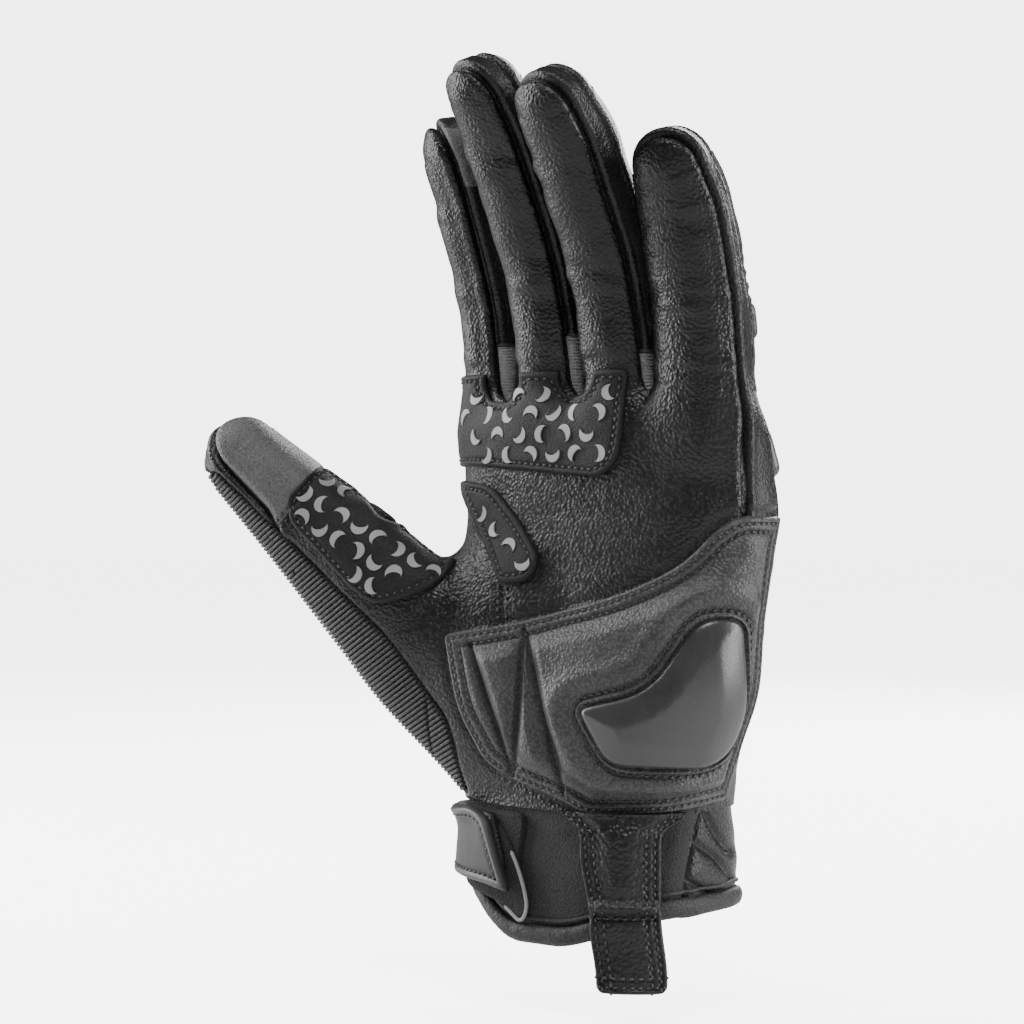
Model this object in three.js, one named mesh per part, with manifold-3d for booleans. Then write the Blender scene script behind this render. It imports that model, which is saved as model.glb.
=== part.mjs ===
// A left riding glove of leather, neoprene and moulded rubber, in millimetres.
// +Z runs from the wrist opening to the fingertips, -Y is the palm side and +X the little finger's side.
// The origin is the centre of the wrist opening.
import * as THREE from "three";
import { mergeVertices } from "three/addons/utils/BufferGeometryUtils.js";
import Module from "manifold-3d";

const wasm = await Module();
wasm.setup();

// Driving dimensions.
const GAP = 0.3; // clearance between neighbouring pieces
const LEATHER = 2.0; // leather with its backing
const LINING = 0.8;
const HAND_POINTS = 20; // corners of a hand section
const DIGIT_POINTS = 12; // corners of a finger or thumb section
const CUFF_TOP = 34;
const HEM_HEIGHT = 4;
const HAND_POWER = 2.5; // squareness of the hand's oval sections
const FINGER_POWER = 2.3;
const HINGE_GAP = 1.0;
const HINGE_DEPTH = 3; // how far a finger's hinges lie on the palm side of its middle line
const SIDE_LINE = -2; // height where the palm leather meets the back of the hand
const FACE_TURN = 38; // the heel's overlay and slider face this far round from the palm, in degrees

// The hand's oval sections: height, centre x, centre y, half width, half depth.
const HAND_ROWS = [
  [0, 1, 0, 34, 27],
  [16, 1, 0, 33.5, 26],
  [34, 1, 0, 33, 25],
  [48, 0.8, -2, 37.8, 24.5],
  [62, 1.6, -2, 42.1, 24],
  [78, 2.6, -1, 42.6, 22],
  [94, 4.4, 0, 43.4, 20.5],
  [108, 5.8, -0.5, 44.3, 18.5],
  [123, 5, -2, 43.5, 16],
  [131, 4.7, -3.5, 42.5, 14],
];
const HAND_CAP = [
  [135, 0.95],
  [138, 0.8],
];

// Fingers: knuckle point, sideways spread, forward lean and length of each of the three bones,
// then half widths and half depths at root, knuckle, middle joint, end joint and tip.
const FINGERS = {
  index: {
    knuckle: [-29.5, 0.5, 143],
    spread: -2.5,
    lean: [9, 20, 30],
    lengths: [19, 25, 13],
    widths: [10.3, 10.3, 10.3, 10, 9.3],
    depths: [11, 11.8, 11.5, 11, 9],
  },
  middle: {
    knuckle: [-8.5, -5, 144],
    spread: -2,
    lean: [13, 26, 37],
    lengths: [24, 30, 16.5],
    widths: [10.2, 10.2, 10.2, 10, 9.3],
    depths: [11, 11.8, 11.5, 11, 9],
  },
  ring: {
    knuckle: [12.5, -6, 143],
    spread: -1,
    lean: [14, 28, 38],
    lengths: [23, 29.5, 14],
    widths: [10.2, 10.2, 10.2, 10, 9.3],
    depths: [11, 11.8, 11.5, 11, 9],
  },
  little: {
    knuckle: [34.8, -5, 141],
    spread: 1,
    lean: [10, 19, 29],
    lengths: [17, 20, 12],
    widths: [11, 11.3, 11.2, 10.7, 9.4],
    depths: [10, 11.5, 11, 10.3, 8.8],
  },
};
const ROOT_LENGTH = 34; // the part of each finger's line that lies inside the hand
const FLEX = { knuckle: 35, base: 40, middle: 55, tip: 35, thumbBase: 30, thumbTip: 45 };
const STRETCH = 8; // every joint opens this far backwards

// Thumb: middle line from inside the heel, with half widths and half depths.
const THUMB_LINE = [[-14, -5, 38], [-23, -10, 48], [-38, -17, 67], [-52, -24, 83], [-72, -32, 103.5], [-87, -39, 119]];
const THUMB_WIDTHS = [10, 16, 19.5, 17.5, 13.6, 10.8];
const THUMB_DEPTHS = [8, 14, 14, 12.5, 11, 9.5];
const THUMB_ACROSS = [0.72, 0.04, 0.69];
const KNUCKLE_POINT = [2, -4, 107];
const KNUCKLE_TILT = 11;

// Hem: how far it rises above the opening's plane towards each side.
const HEM_RISE = { thumbSide: 13, littleSide: 8 };

// Wrist strap: angles round the wrist from +X, and heights.
const STRAP = { low: 13.5, high: 32, aboveHem: 18.5, start: 60, hinge: 145, rubberEnd: 246, tailEnd: 247, hookEnd: 259 };
const STRAP_THICK = 1.9;

// Pull strap: middle and half width seen square on, heights.
const PULL = { middle: 5, half: 8.3, low: -10, bar: 11, high: 31, thick: 1.8 };

const COLOURS = {
  leather: 0x2b2b2d,
  goat: 0x232325,
  grip: 0x3a3a3c,
  rubber: 0x303134,
  plastic: 0x56585b,
  neoprene: 0x27272b,
  stretch: 0x222224,
  gusset: 0x8b8c8e,
  lining: 0x1a1a1c,
  foam: 0x303030,
  fuzzy: 0x0e0e0f,
};
const ROUGHNESS = { plastic: 0.3, rubber: 0.55 };

const glove = new THREE.Group();
const up = new THREE.Vector3(0, 0, 1);
const radians = THREE.MathUtils.degToRad;
const point = (values) => new THREE.Vector3(...values);

/** A closed geometry as a solid that can be cut and joined. */
function solid(geometry) {
  const bare = geometry.clone();
  bare.deleteAttribute("normal");
  bare.deleteAttribute("uv");
  const merged = mergeVertices(bare, 1e-4);
  const mesh = new wasm.Mesh({
    numProp: 3,
    vertProperties: new Float32Array(merged.attributes.position.array),
    triVerts: new Uint32Array(merged.index.array),
  });
  return new wasm.Manifold(mesh);
}

/** Adds a solid to the glove as a named piece. */
function addPiece(name, body, finish) {
  const mesh = body.getMesh();
  const geometry = new THREE.BufferGeometry();
  geometry.setAttribute("position", new THREE.BufferAttribute(new Float32Array(mesh.vertProperties), 3));
  geometry.setIndex(Array.from(mesh.triVerts));
  geometry.computeVertexNormals();
  const material = new THREE.MeshStandardMaterial({
    color: COLOURS[finish],
    roughness: ROUGHNESS[finish] ?? 0.8,
    metalness: 0,
  });
  const piece = new THREE.Mesh(geometry, material);
  piece.name = name;
  glove.add(piece);
}

/** Joins rings of equal point count into one closed solid. The rings turn anticlockwise seen from the last. */
function loft(rings) {
  const count = rings[0].length;
  const positions = rings.flat().flatMap((p) => [p.x, p.y, p.z]);
  const faces = [];
  for (let r = 0; r + 1 < rings.length; r += 1) {
    for (let i = 0; i < count; i += 1) {
      const j = (i + 1) % count;
      const [a, b, c, d] = [r * count + i, r * count + j, (r + 1) * count + j, (r + 1) * count + i];
      faces.push(a, b, c, a, c, d);
    }
  }
  const ends = [rings[0], rings[rings.length - 1]];
  ends.forEach((ring, end) => {
    const middle = ring.reduce((sum, p) => sum.add(p), new THREE.Vector3()).divideScalar(count);
    const hub = positions.length / 3;
    positions.push(middle.x, middle.y, middle.z);
    const first = end ? (rings.length - 1) * count : 0;
    for (let i = 0; i < count; i += 1) {
      const j = (i + 1) % count;
      faces.push(hub, first + (end ? i : j), first + (end ? j : i));
    }
  });
  const geometry = new THREE.BufferGeometry();
  geometry.setAttribute("position", new THREE.Float32BufferAttribute(positions, 3));
  geometry.setIndex(faces);
  return solid(geometry);
}

/** Points of an oval between a circle and a rectangle, round `centre`. */
function oval(centre, across, back, halfWidth, halfDepth, power, count) {
  const signed = (value) => Math.sign(value) * Math.abs(value) ** (2 / power);
  return Array.from({ length: count }, (_, i) => {
    const angle = (2 * Math.PI * (i + 0.5)) / count;
    const place = centre.clone().addScaledVector(across, halfWidth * signed(Math.cos(angle)));
    return place.addScaledVector(back, halfDepth * signed(Math.sin(angle)));
  });
}

/** The half of space beyond `at` along `normal`, as a large block. */
function beyond(at, normal) {
  const reach = 500;
  const block = new THREE.BoxGeometry(reach, reach, reach);
  const turn = new THREE.Quaternion().setFromUnitVectors(up, normal.clone().normalize());
  block.translate(0, 0, reach / 2);
  block.applyQuaternion(turn);
  block.translate(at.x, at.y, at.z);
  return solid(block);
}

/** A block between two corners. */
function block(low, high) {
  const size = point(high).sub(point(low));
  const middle = point(high).add(point(low)).divideScalar(2);
  const box = new THREE.BoxGeometry(size.x, size.y, size.z);
  box.translate(middle.x, middle.y, middle.z);
  return solid(box);
}

/** Half of the space above or below a height. */
const above = (height) => beyond(new THREE.Vector3(0, 0, height), up);
const below = (height) => beyond(new THREE.Vector3(0, 0, height), up.clone().negate());

/** How far the hem has risen at a point across the wrist. */
function hemRise(x) {
  const thumbSide = THREE.MathUtils.smoothstep(-5 - x, 0, 28) * HEM_RISE.thumbSide;
  return thumbSide + THREE.MathUtils.smoothstep(x - 5, 0, 30) * HEM_RISE.littleSide;
}

/** A ring of the hand `grow` outside its surface, lifted to follow the hem near the opening. */
function handRing([z, x, y, a, b], grow, scale = 1) {
  const centre = new THREE.Vector3(x, y, z);
  const [halfWidth, halfDepth] = [(a + grow) * scale, (b + grow) * scale];
  const ring = oval(centre, point([1, 0, 0]), point([0, 1, 0]), halfWidth, halfDepth, HAND_POWER, HAND_POINTS);
  const lift = Math.max(0, 1 - Math.max(z, 0) / CUFF_TOP);
  ring.forEach((p) => {
    p.z += hemRise(p.x) * lift;
  });
  return ring;
}

/** The hand without its fingers and thumb, `grow` outside its surface, from `bottom` at or below the hem. */
function handBody(grow, bottom = 0) {
  const rows = bottom < 0 ? [[bottom, ...HAND_ROWS[0].slice(1)], ...HAND_ROWS] : HAND_ROWS;
  const rings = rows.map((row) => handRing(row, grow));
  const top = HAND_ROWS[HAND_ROWS.length - 1];
  HAND_CAP.forEach(([z, scale]) => {
    rings.push(handRing([z + grow, ...top.slice(1)], grow, scale));
  });
  return loft(rings);
}

/** A tube with an oval section along a curve, with frames at its control points. */
class Tube {
  constructor(line, widths, depths, across) {
    this.last = line.length - 1;
    this.path = new THREE.CatmullRomCurve3(line.map(point), false, "catmullrom", 0.5);
    const sizes = widths.map((w, i) => new THREE.Vector3(w, depths[i], 0));
    this.sizes = new THREE.CatmullRomCurve3(sizes, false, "catmullrom", 0.5);
    this.side = point(across);
  }

  /** Centre, tangent, sideways and backwards directions at a control point index, whole or not. */
  frame(index) {
    const along = this.path.getTangent(index / this.last);
    const across = this.side.clone().addScaledVector(along, -this.side.dot(along)).normalize();
    const back = new THREE.Vector3().crossVectors(along, across);
    return { centre: this.path.getPoint(index / this.last), along, across, back };
  }

  ring(index, grow, push = 0, scale = 1) {
    const { centre, along, across, back } = this.frame(index);
    const size = this.sizes.getPoint(index / this.last);
    centre.addScaledVector(along, push);
    const [halfWidth, halfDepth] = [(size.x + grow) * scale, (size.y + grow) * scale];
    return oval(centre, across, back, halfWidth, halfDepth, FINGER_POWER, DIGIT_POINTS);
  }

  /** Solid between two control points. */
  between(from, to, grow) {
    const steps = Math.max(1, Math.round(2 * (to - from)));
    return loft(Array.from({ length: steps + 1 }, (_, i) => this.ring(from + ((to - from) * i) / steps, grow)));
  }

  /** Solid from a control point to the rounded tip. */
  toTip(from, grow) {
    const size = this.sizes.getPoint(1);
    const radius = (size.x + size.y) / 2 + grow;
    const rings = [from, (from + this.last) / 2, this.last].map((index) => this.ring(index, grow));
    [28, 52, 74].forEach((degrees) => {
      const angle = radians(degrees);
      rings.push(this.ring(this.last, grow, radius * Math.sin(angle), Math.cos(angle)));
    });
    return loft(rings);
  }

  /** The hinge at a control point, moved towards the palm. */
  hinge(index) {
    const hinge = this.frame(index);
    hinge.centre.addScaledVector(hinge.back, -HINGE_DEPTH);
    return hinge;
  }
}

/** Wedge-shaped clearance at a hinge, so that the piece beyond it can turn both ways. */
function notch(hinge, flex, halfWidth, reach) {
  const half = (n) => HINGE_GAP / 2 + Math.abs(n) * Math.tan(radians((n < 0 ? flex : STRETCH) / 2));
  const outline = new THREE.Shape();
  outline.moveTo(-reach, half(-reach));
  outline.lineTo(-reach, -half(-reach));
  outline.lineTo(0, -half(0));
  outline.lineTo(reach, -half(reach));
  outline.lineTo(reach, half(reach));
  outline.lineTo(0, half(0));
  const wedge = new THREE.ExtrudeGeometry(outline, { depth: 2 * halfWidth, bevelEnabled: false });
  wedge.translate(0, 0, -halfWidth);
  const place = new THREE.Matrix4().makeBasis(hinge.back, hinge.along, hinge.across).setPosition(hinge.centre);
  wedge.applyMatrix4(place);
  return solid(wedge);
}

/** Outline with rounded corners. Each corner is [u, z, radius]. */
function roundedOutline(corners) {
  const outline = new THREE.Shape();
  corners.forEach(([u, z, radius], i) => {
    const corner = new THREE.Vector2(u, z);
    const before = new THREE.Vector2(...corners[(i + corners.length - 1) % corners.length]);
    const after = new THREE.Vector2(...corners[(i + 1) % corners.length]);
    const start = before.sub(corner).setLength(radius).add(corner);
    const end = after.sub(corner).setLength(radius).add(corner);
    if (i === 0) outline.moveTo(start.x, start.y);
    else outline.lineTo(start.x, start.y);
    outline.quadraticCurveTo(corner.x, corner.y, end.x, end.y);
  });
  return outline;
}

/** A prism with the outline drawn facing the heel of the hand: u to the right and z up. */
function facingPrism(outline) {
  const depth = 120;
  const prism = new THREE.ExtrudeGeometry(outline, { depth, bevelEnabled: false, curveSegments: 3 });
  prism.translate(0, 0, -30);
  prism.rotateX(Math.PI / 2);
  prism.rotateZ(radians(FACE_TURN));
  return solid(prism);
}

/** The sector of a vertical cylinder round the wrist between two angles and two heights. */
function sector(from, to, low, high) {
  const reach = 90;
  const steps = Math.max(2, Math.ceil((to - from) / 30));
  const outline = new THREE.Shape();
  outline.moveTo(0, 0);
  for (let i = 0; i <= steps; i += 1) {
    const angle = radians(from + ((to - from) * i) / steps);
    outline.lineTo(reach * Math.cos(angle), reach * Math.sin(angle));
  }
  const prism = new THREE.ExtrudeGeometry(outline, { depth: high - low, bevelEnabled: false });
  prism.translate(0, 0, low);
  return solid(prism);
}

const fingers = {};
for (const [name, finger] of Object.entries(FINGERS)) {
  const spread = radians(finger.spread);
  const across = new THREE.Vector3(Math.cos(spread), 0, -Math.sin(spread));
  const along = new THREE.Vector3(Math.sin(spread), 0, Math.cos(spread));
  const palmward = new THREE.Vector3(0, -1, 0);
  const bone = (lean) => {
    const angle = radians(lean);
    return along.clone().multiplyScalar(Math.cos(angle)).addScaledVector(palmward, Math.sin(angle));
  };
  const knuckle = point(finger.knuckle);
  const line = [knuckle.clone().addScaledVector(bone(finger.lean[0] - 6), -ROOT_LENGTH), knuckle];
  finger.lean.forEach((lean, i) => {
    line.push(line[line.length - 1].clone().addScaledVector(bone(lean), finger.lengths[i]));
  });
  const values = line.map((p) => p.toArray());
  fingers[name] = new Tube(values, finger.widths, finger.depths, across.toArray());
}
const thumb = new Tube(THUMB_LINE, THUMB_WIDTHS, THUMB_DEPTHS, THUMB_ACROSS);
const THUMB_BASE = 3; // control point of the thumb's base hinge
const THUMB_JOINT = 4;

const tilt = radians(KNUCKLE_TILT);
const knuckleHinge = {
  centre: point(KNUCKLE_POINT),
  along: new THREE.Vector3(Math.sin(tilt), 0, Math.cos(tilt)),
  across: new THREE.Vector3(Math.cos(tilt), 0, -Math.sin(tilt)),
  back: new THREE.Vector3(0, 1, 0),
};
const knuckleNotch = notch(knuckleHinge, FLEX.knuckle, 90, 60);
const palmSide = beyond(new THREE.Vector3(0, SIDE_LINE - GAP / 2, 0), new THREE.Vector3(0, -1, 0));
const backSide = beyond(new THREE.Vector3(0, SIDE_LINE + GAP / 2, 0), new THREE.Vector3(0, 1, 0));
const handSpace = handBody(-LEATHER, -20);
const skin = (from, to) => handBody(to, -6).subtract(handBody(from, -20));

/** The hand from the cuff to the knuckle line. */
function makeHand() {
  const beforeKnuckles = beyond(knuckleHinge.centre, knuckleHinge.along.clone().negate());
  const thumbRoot = thumb.between(0, THUMB_BASE, 0);
  const thumbSpace = thumb.between(0.3, THUMB_BASE + 0.3, -LEATHER);
  const thumbNotch = notch(thumb.hinge(THUMB_BASE), FLEX.thumbBase, 19, 30);
  const outside = handBody(0).add(thumbRoot);
  const shell = outside.subtract(handSpace).subtract(thumbSpace).subtract(knuckleNotch);
  const hand = shell.intersect(beforeKnuckles).subtract(thumbNotch);
  const leatherPart = hand.intersect(above(CUFF_TOP + GAP));
  const rootFrame = thumb.frame(2);
  const panelEdge = rootFrame.centre.clone().addScaledVector(rootFrame.across, -13);
  const outerEdge = rootFrame.across.clone().negate();
  const inPanel = beyond(panelEdge, outerEdge).intersect(block([-80, -60, CUFF_TOP + 6], [-22, 20, 90]));
  const besidePanel = beyond(panelEdge.clone().addScaledVector(outerEdge, -GAP), outerEdge);
  const roomForPanel = besidePanel.intersect(block([-80, -60, CUFF_TOP + 6 - GAP], [-22 + GAP, 20 + GAP, 90]));
  addPiece("palm_leather", leatherPart.intersect(palmSide).subtract(roomForPanel), "goat");
  addPiece("back_leather", leatherPart.intersect(backSide).subtract(roomForPanel), "leather");
  addPiece("thumb_stretch_panel", leatherPart.intersect(inPanel), "stretch");
  const linedSpace = handBody(-LEATHER - GAP - LINING, -20).add(thumb.between(0, THUMB_BASE + 0.3, 0));
  const lining = handBody(-LEATHER - GAP, -20).subtract(linedSpace).intersect(above(HEM_RISE.thumbSide + 3));
  addPiece("hand_lining", lining.intersect(below(CUFF_TOP + 52)), "lining");
}

/** The cuff with its bound hem. */
function makeCuff() {
  const cuff = handBody(0).subtract(handSpace).intersect(below(CUFF_TOP));
  const hemBand = loft([0, HEM_HEIGHT].map((z) => handRing([z, ...HAND_ROWS[0].slice(1)], 5)));
  const bandOnCuff = loft([-30, HEM_HEIGHT + GAP].map((z) => handRing([z, ...HAND_ROWS[0].slice(1)], 5)));
  const binding = skin(-LEATHER, 1.2).intersect(hemBand);
  const wall = cuff.subtract(bandOnCuff);
  addPiece("cuff_front", wall.intersect(palmSide), "neoprene");
  addPiece("cuff_back", wall.intersect(backSide), "neoprene");
  addPiece("hem_binding", binding, "leather");
}

/** The padded heel with its hard slider, and the patch in the thumb's crotch. */
function makeHeel() {
  const corners = [
    [-40, 75, 2], [-20, 78, 8], [4, 85, 8], [19.5, 92.5, 6], [30, 103.5, 4], [52, 103.5, 4], [52, 36, 2], [33, 35.5, 3],
    [15, 33, 3], [-4, 32, 2], [-10.5, 35.5, 3], [-22, 39.5, 3], [-30, 44.5, 3], [-37, 56, 5],
  ];
  const padCorners = [[-1, 64, 3], [14, 71, 4], [22, 84, 4], [37, 84, 4], [37, 44, 4], [29, 39.5, 4], [4, 39.5, 5]];
  const slider = [[-5.5, 58, 3], [11.5, 62.5, 6], [23.5, 80.5, 4], [33, 80.5, 4], [34.5, 56, 7], [28, 44.5, 6], [2, 44.5, 5]];
  const thenar = (grow) => thumb.between(0, THUMB_BASE, grow);
  const layer = (from, to, backLimit = 3) => {
    const outer = handBody(to).add(thenar(to));
    const facing = block([-34, -80, 28], [80, backLimit, 140]);
    return outer.subtract(handBody(from)).subtract(thenar(from)).intersect(facing);
  };
  const area = facingPrism(roundedOutline(corners)).subtract(knuckleNotch);
  const fixedArea = area.intersect(beyond(knuckleHinge.centre, knuckleHinge.along.clone().negate()));
  const padArea = facingPrism(roundedOutline(padCorners));
  const pocket = layer(0, 2.6).intersect(padArea);
  addPiece("heel_overlay", layer(GAP, 3.6).intersect(fixedArea).subtract(pocket), "leather");
  const [padMiddleU, padMiddleZ] = [22, 60];
  const foamCorners = padCorners.map(([u, z, radius]) => [
    THREE.MathUtils.lerp(padMiddleU, u, 0.96), THREE.MathUtils.lerp(padMiddleZ, z, 0.96), radius,
  ]);
  addPiece("heel_foam", layer(GAP, 2.3).intersect(facingPrism(roundedOutline(foamCorners))), "foam");
  addPiece("heel_slider", layer(3.6 + GAP, 7).intersect(facingPrism(roundedOutline(slider))), "plastic");
  const crotch = [
    [-34, 112.5, 2], [-27, 110.5, 3], [-19.5, 101, 4], [-15, 93.5, 3], [-18, 88, 3], [-25.5, 87.5, 2], [-31, 100, 4],
  ];
  const crotchArea = facingPrism(roundedOutline(crotch)).intersect(beyond(knuckleHinge.centre, up.clone().negate()));
  addPiece("thumb_crotch_patch", layer(GAP, 1.5, -8).intersect(crotchArea).subtract(knuckleNotch), "grip");
}

/** The wrist strap: a band over the back, and a tail that peels open at the thumb's side. */
function makeWristStrap() {
  const { low, high, aboveHem, start, hinge, rubberEnd, tailEnd, hookEnd } = STRAP;
  const layer = (from, to, thick, bottom = low, top = high) => {
    const [inner, outer] = thick;
    return skin(inner, outer).intersect(sector(from, to, bottom, top));
  };
  const looseFrom = hinge + 1.5;
  const tailLift = 2.6;
  const tailSkin = [tailLift, tailLift + STRAP_THICK];
  addPiece("wrist_strap", layer(start, hinge, tailSkin), "leather");
  addPiece("strap_keeper_pad", layer(start, hinge - 4, [GAP, tailLift - GAP], aboveHem), "neoprene");
  addPiece("strap_loop_panel", layer(hinge, hookEnd + 3, [GAP, 1.1], aboveHem), "fuzzy");
  addPiece("strap_tail", layer(looseFrom, tailEnd, tailSkin), "leather");
  addPiece("strap_hook_pad", layer(looseFrom + 20, hookEnd, [1.1 + GAP, tailLift - GAP], low + 1, high - 2), "fuzzy");
  const rubberSkin = [tailSkin[1] + GAP, tailSkin[1] + GAP + 1.6];
  addPiece("strap_pull_tab", layer(looseFrom + 10, rubberEnd, rubberSkin, low + 1, high - 1), "rubber");
}

/** The leather pull strap: sewn down above its stitched bar and free below it. */
function makePullStrap() {
  const { middle, half, low, bar, high, thick } = PULL;
  const lift = 1.6;
  const strip = (bottom, top, radius) => {
    const [left, right] = [middle - half, middle + half];
    return facingPrism(
      roundedOutline([[left, bottom, radius], [right, bottom, radius], [right, top, 0.5], [left, top, 0.5]]),
    );
  };
  const row = HAND_ROWS[0].slice(1);
  const straight = (grow) => loft([-40, 60].map((z) => oval(
    new THREE.Vector3(row[0], row[1], z), point([1, 0, 0]), point([0, 1, 0]), row[2] + grow, row[3] + grow,
    HAND_POWER, HAND_POINTS,
  )));
  const facing = beyond(new THREE.Vector3(0, 0, 0), new THREE.Vector3(0, -1, 0));
  const band = straight(lift + thick).subtract(straight(lift)).intersect(facing);
  addPiece("pull_strap_root", band.intersect(strip(bar, high, 0.5)), "leather");
  addPiece("pull_strap_end", band.intersect(strip(low, bar - GAP, 3)), "leather");
}

/** The row of knuckles: leather, grip patch, guard and the gussets between the fingers. */
function makeKnuckles() {
  const beyondFold = beyond(knuckleHinge.centre, knuckleHinge.along);
  const names = Object.keys(fingers);
  const outside = (grow) => names.reduce(
    (body, name) => body.add(fingers[name].between(0.5, 1, grow)), handBody(grow),
  );
  const space = names.reduce((body, name) => body.add(fingers[name].between(0.4, 1.2, -LEATHER)), handBody(-LEATHER));
  const notches = names.map((name) => notch(fingers[name].hinge(1), FLEX.base, 11, 16));
  const trim = (body) => notches.reduce((rest, wedge) => rest.subtract(wedge), body.subtract(knuckleNotch));
  const outer = outside(0);
  const shell = trim(outer.subtract(space)).intersect(beyondFold);
  addPiece("knuckle_palm_leather", shell.intersect(palmSide), "goat");
  addPiece("knuckle_back_leather", shell.intersect(backSide), "leather");
  const patchArea = facingPrism(
    roundedOutline([[-36, 117, 2], [-30, 116.8, 2], [0, 113.5, 3], [4.5, 118, 3], [6.5, 134, 2], [-36, 134, 2]]),
  );
  const facing = beyond(new THREE.Vector3(0, -5, 0), new THREE.Vector3(0, -1, 0));
  const patchSkin = trim(outside(1.4).subtract(outside(GAP)));
  addPiece("finger_base_grip_patch", patchSkin.intersect(patchArea).intersect(facing).intersect(beyondFold), "grip");
  const guardSkin = (from, to) => handBody(to).subtract(outside(from));
  const foamBlock = block([-30, 8, 114], [40, 40, 128]);
  const guardBlock = block([-34, 8, 112], [44, 40, 130]);
  addPiece("knuckle_foam", guardSkin(GAP, 2).intersect(foamBlock), "foam");
  addPiece("knuckle_guard", guardSkin(2 + GAP, 5).intersect(guardBlock), "plastic");
  names.slice(1).forEach((name, i) => {
    const left = fingers[names[i]].frame(1).centre;
    const right = fingers[name].frame(1).centre;
    const middle = left.clone().add(right).divideScalar(2);
    const low = [middle.x - 4, middle.y - 10.5, 133.5];
    const high = [middle.x + 4, middle.y - 6, 139];
    addPiece(`gusset_${names[i]}_${name}`, trim(block(low, high).subtract(outside(GAP))), "gusset");
  });
}

/** One finger: sleeves of a palm half and a back half beyond each joint, and a pad on the first bone. */
function makeFinger(name) {
  const finger = fingers[name];
  const width = 11;
  const reach = 16;
  const space = finger.between(0.8, 3, -LEATHER).add(finger.toTip(2.9, -LEATHER));
  const cuts = [FLEX.base, FLEX.middle, FLEX.tip].map((flex, i) => notch(finger.hinge(i + 1), flex, width, reach));
  ["base", "middle", "tip"].forEach((part, i) => {
    const from = i + 1;
    const whole = part === "tip" ? finger.toTip(from, 0) : finger.between(from, from + 1, 0);
    const sleeve = cuts.reduce((rest, cut) => rest.subtract(cut), whole.subtract(space));
    const { centre, back } = finger.frame(from + 0.5);
    const forward = back.clone().negate();
    const frontHalf = beyond(centre.clone().addScaledVector(forward, GAP / 2), forward);
    const backHalf = beyond(centre.clone().addScaledVector(back, GAP / 2), back);
    addPiece(`${name}_${part}_front`, sleeve.intersect(frontHalf), "goat");
    addPiece(`${name}_${part}_back`, sleeve.intersect(backHalf), "leather");
  });
  const { centre, along, across, back } = finger.frame(1.5);
  const pad = finger.between(1.25, 1.75, 2.6).subtract(finger.between(1, 2, GAP));
  const onBack = beyond(centre.clone().addScaledVector(back, 5), back);
  const strip = [across, across.clone().negate()].reduce(
    (body, side) => body.intersect(beyond(centre.clone().addScaledVector(side, -7.5), side)), onBack,
  );
  const inReach = beyond(centre.clone().addScaledVector(along, -20), along);
  addPiece(`${name}_armour`, pad.intersect(strip).intersect(inReach), "rubber");
}

/** The thumb beyond its base joint: two sleeves of two halves each, and the grip patch. */
function makeThumb() {
  const space = thumb.between(THUMB_BASE - 0.2, THUMB_JOINT, -LEATHER).add(thumb.toTip(THUMB_JOINT - 0.05, -LEATHER));
  const cuts = [
    notch(thumb.hinge(THUMB_BASE), FLEX.thumbBase, 30, 26),
    notch(thumb.hinge(THUMB_JOINT), FLEX.thumbTip, 24, 20),
  ];
  const wholes = { base: thumb.between(THUMB_BASE, THUMB_JOINT, 0), tip: thumb.toTip(THUMB_JOINT, 0) };
  Object.entries(wholes).forEach(([part, whole], i) => {
    const sleeve = cuts.reduce((rest, cut) => rest.subtract(cut), whole.subtract(space));
    const { centre, back } = thumb.frame(THUMB_BASE + i + 0.5);
    const forward = back.clone().negate();
    const frontHalf = beyond(centre.clone().addScaledVector(forward, GAP / 2), forward);
    const backHalf = beyond(centre.clone().addScaledVector(back, GAP / 2), back);
    addPiece(`thumb_${part}_front`, sleeve.intersect(frontHalf), "goat");
    addPiece(`thumb_${part}_back`, sleeve.intersect(backHalf), part === "base" ? "stretch" : "leather");
  });
  const { centre, across, back } = thumb.frame(THUMB_BASE + 0.5);
  const patch = thumb.between(THUMB_BASE + 0.3, THUMB_BASE + 0.75, 1.4)
    .subtract(thumb.between(THUMB_BASE, THUMB_JOINT, GAP));
  const onFront = beyond(centre.clone().addScaledVector(back, -3), back.clone().negate());
  const inner = beyond(centre.clone().addScaledVector(across, -5), across);
  addPiece("thumb_grip_patch", cuts.reduce((rest, cut) => rest.subtract(cut), patch.intersect(onFront).intersect(inner)), "grip");
}

makeHand();
makeCuff();
makeHeel();
makeWristStrap();
makePullStrap();
makeKnuckles();
Object.keys(fingers).forEach(makeFinger);
makeThumb();

export default glove;
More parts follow.
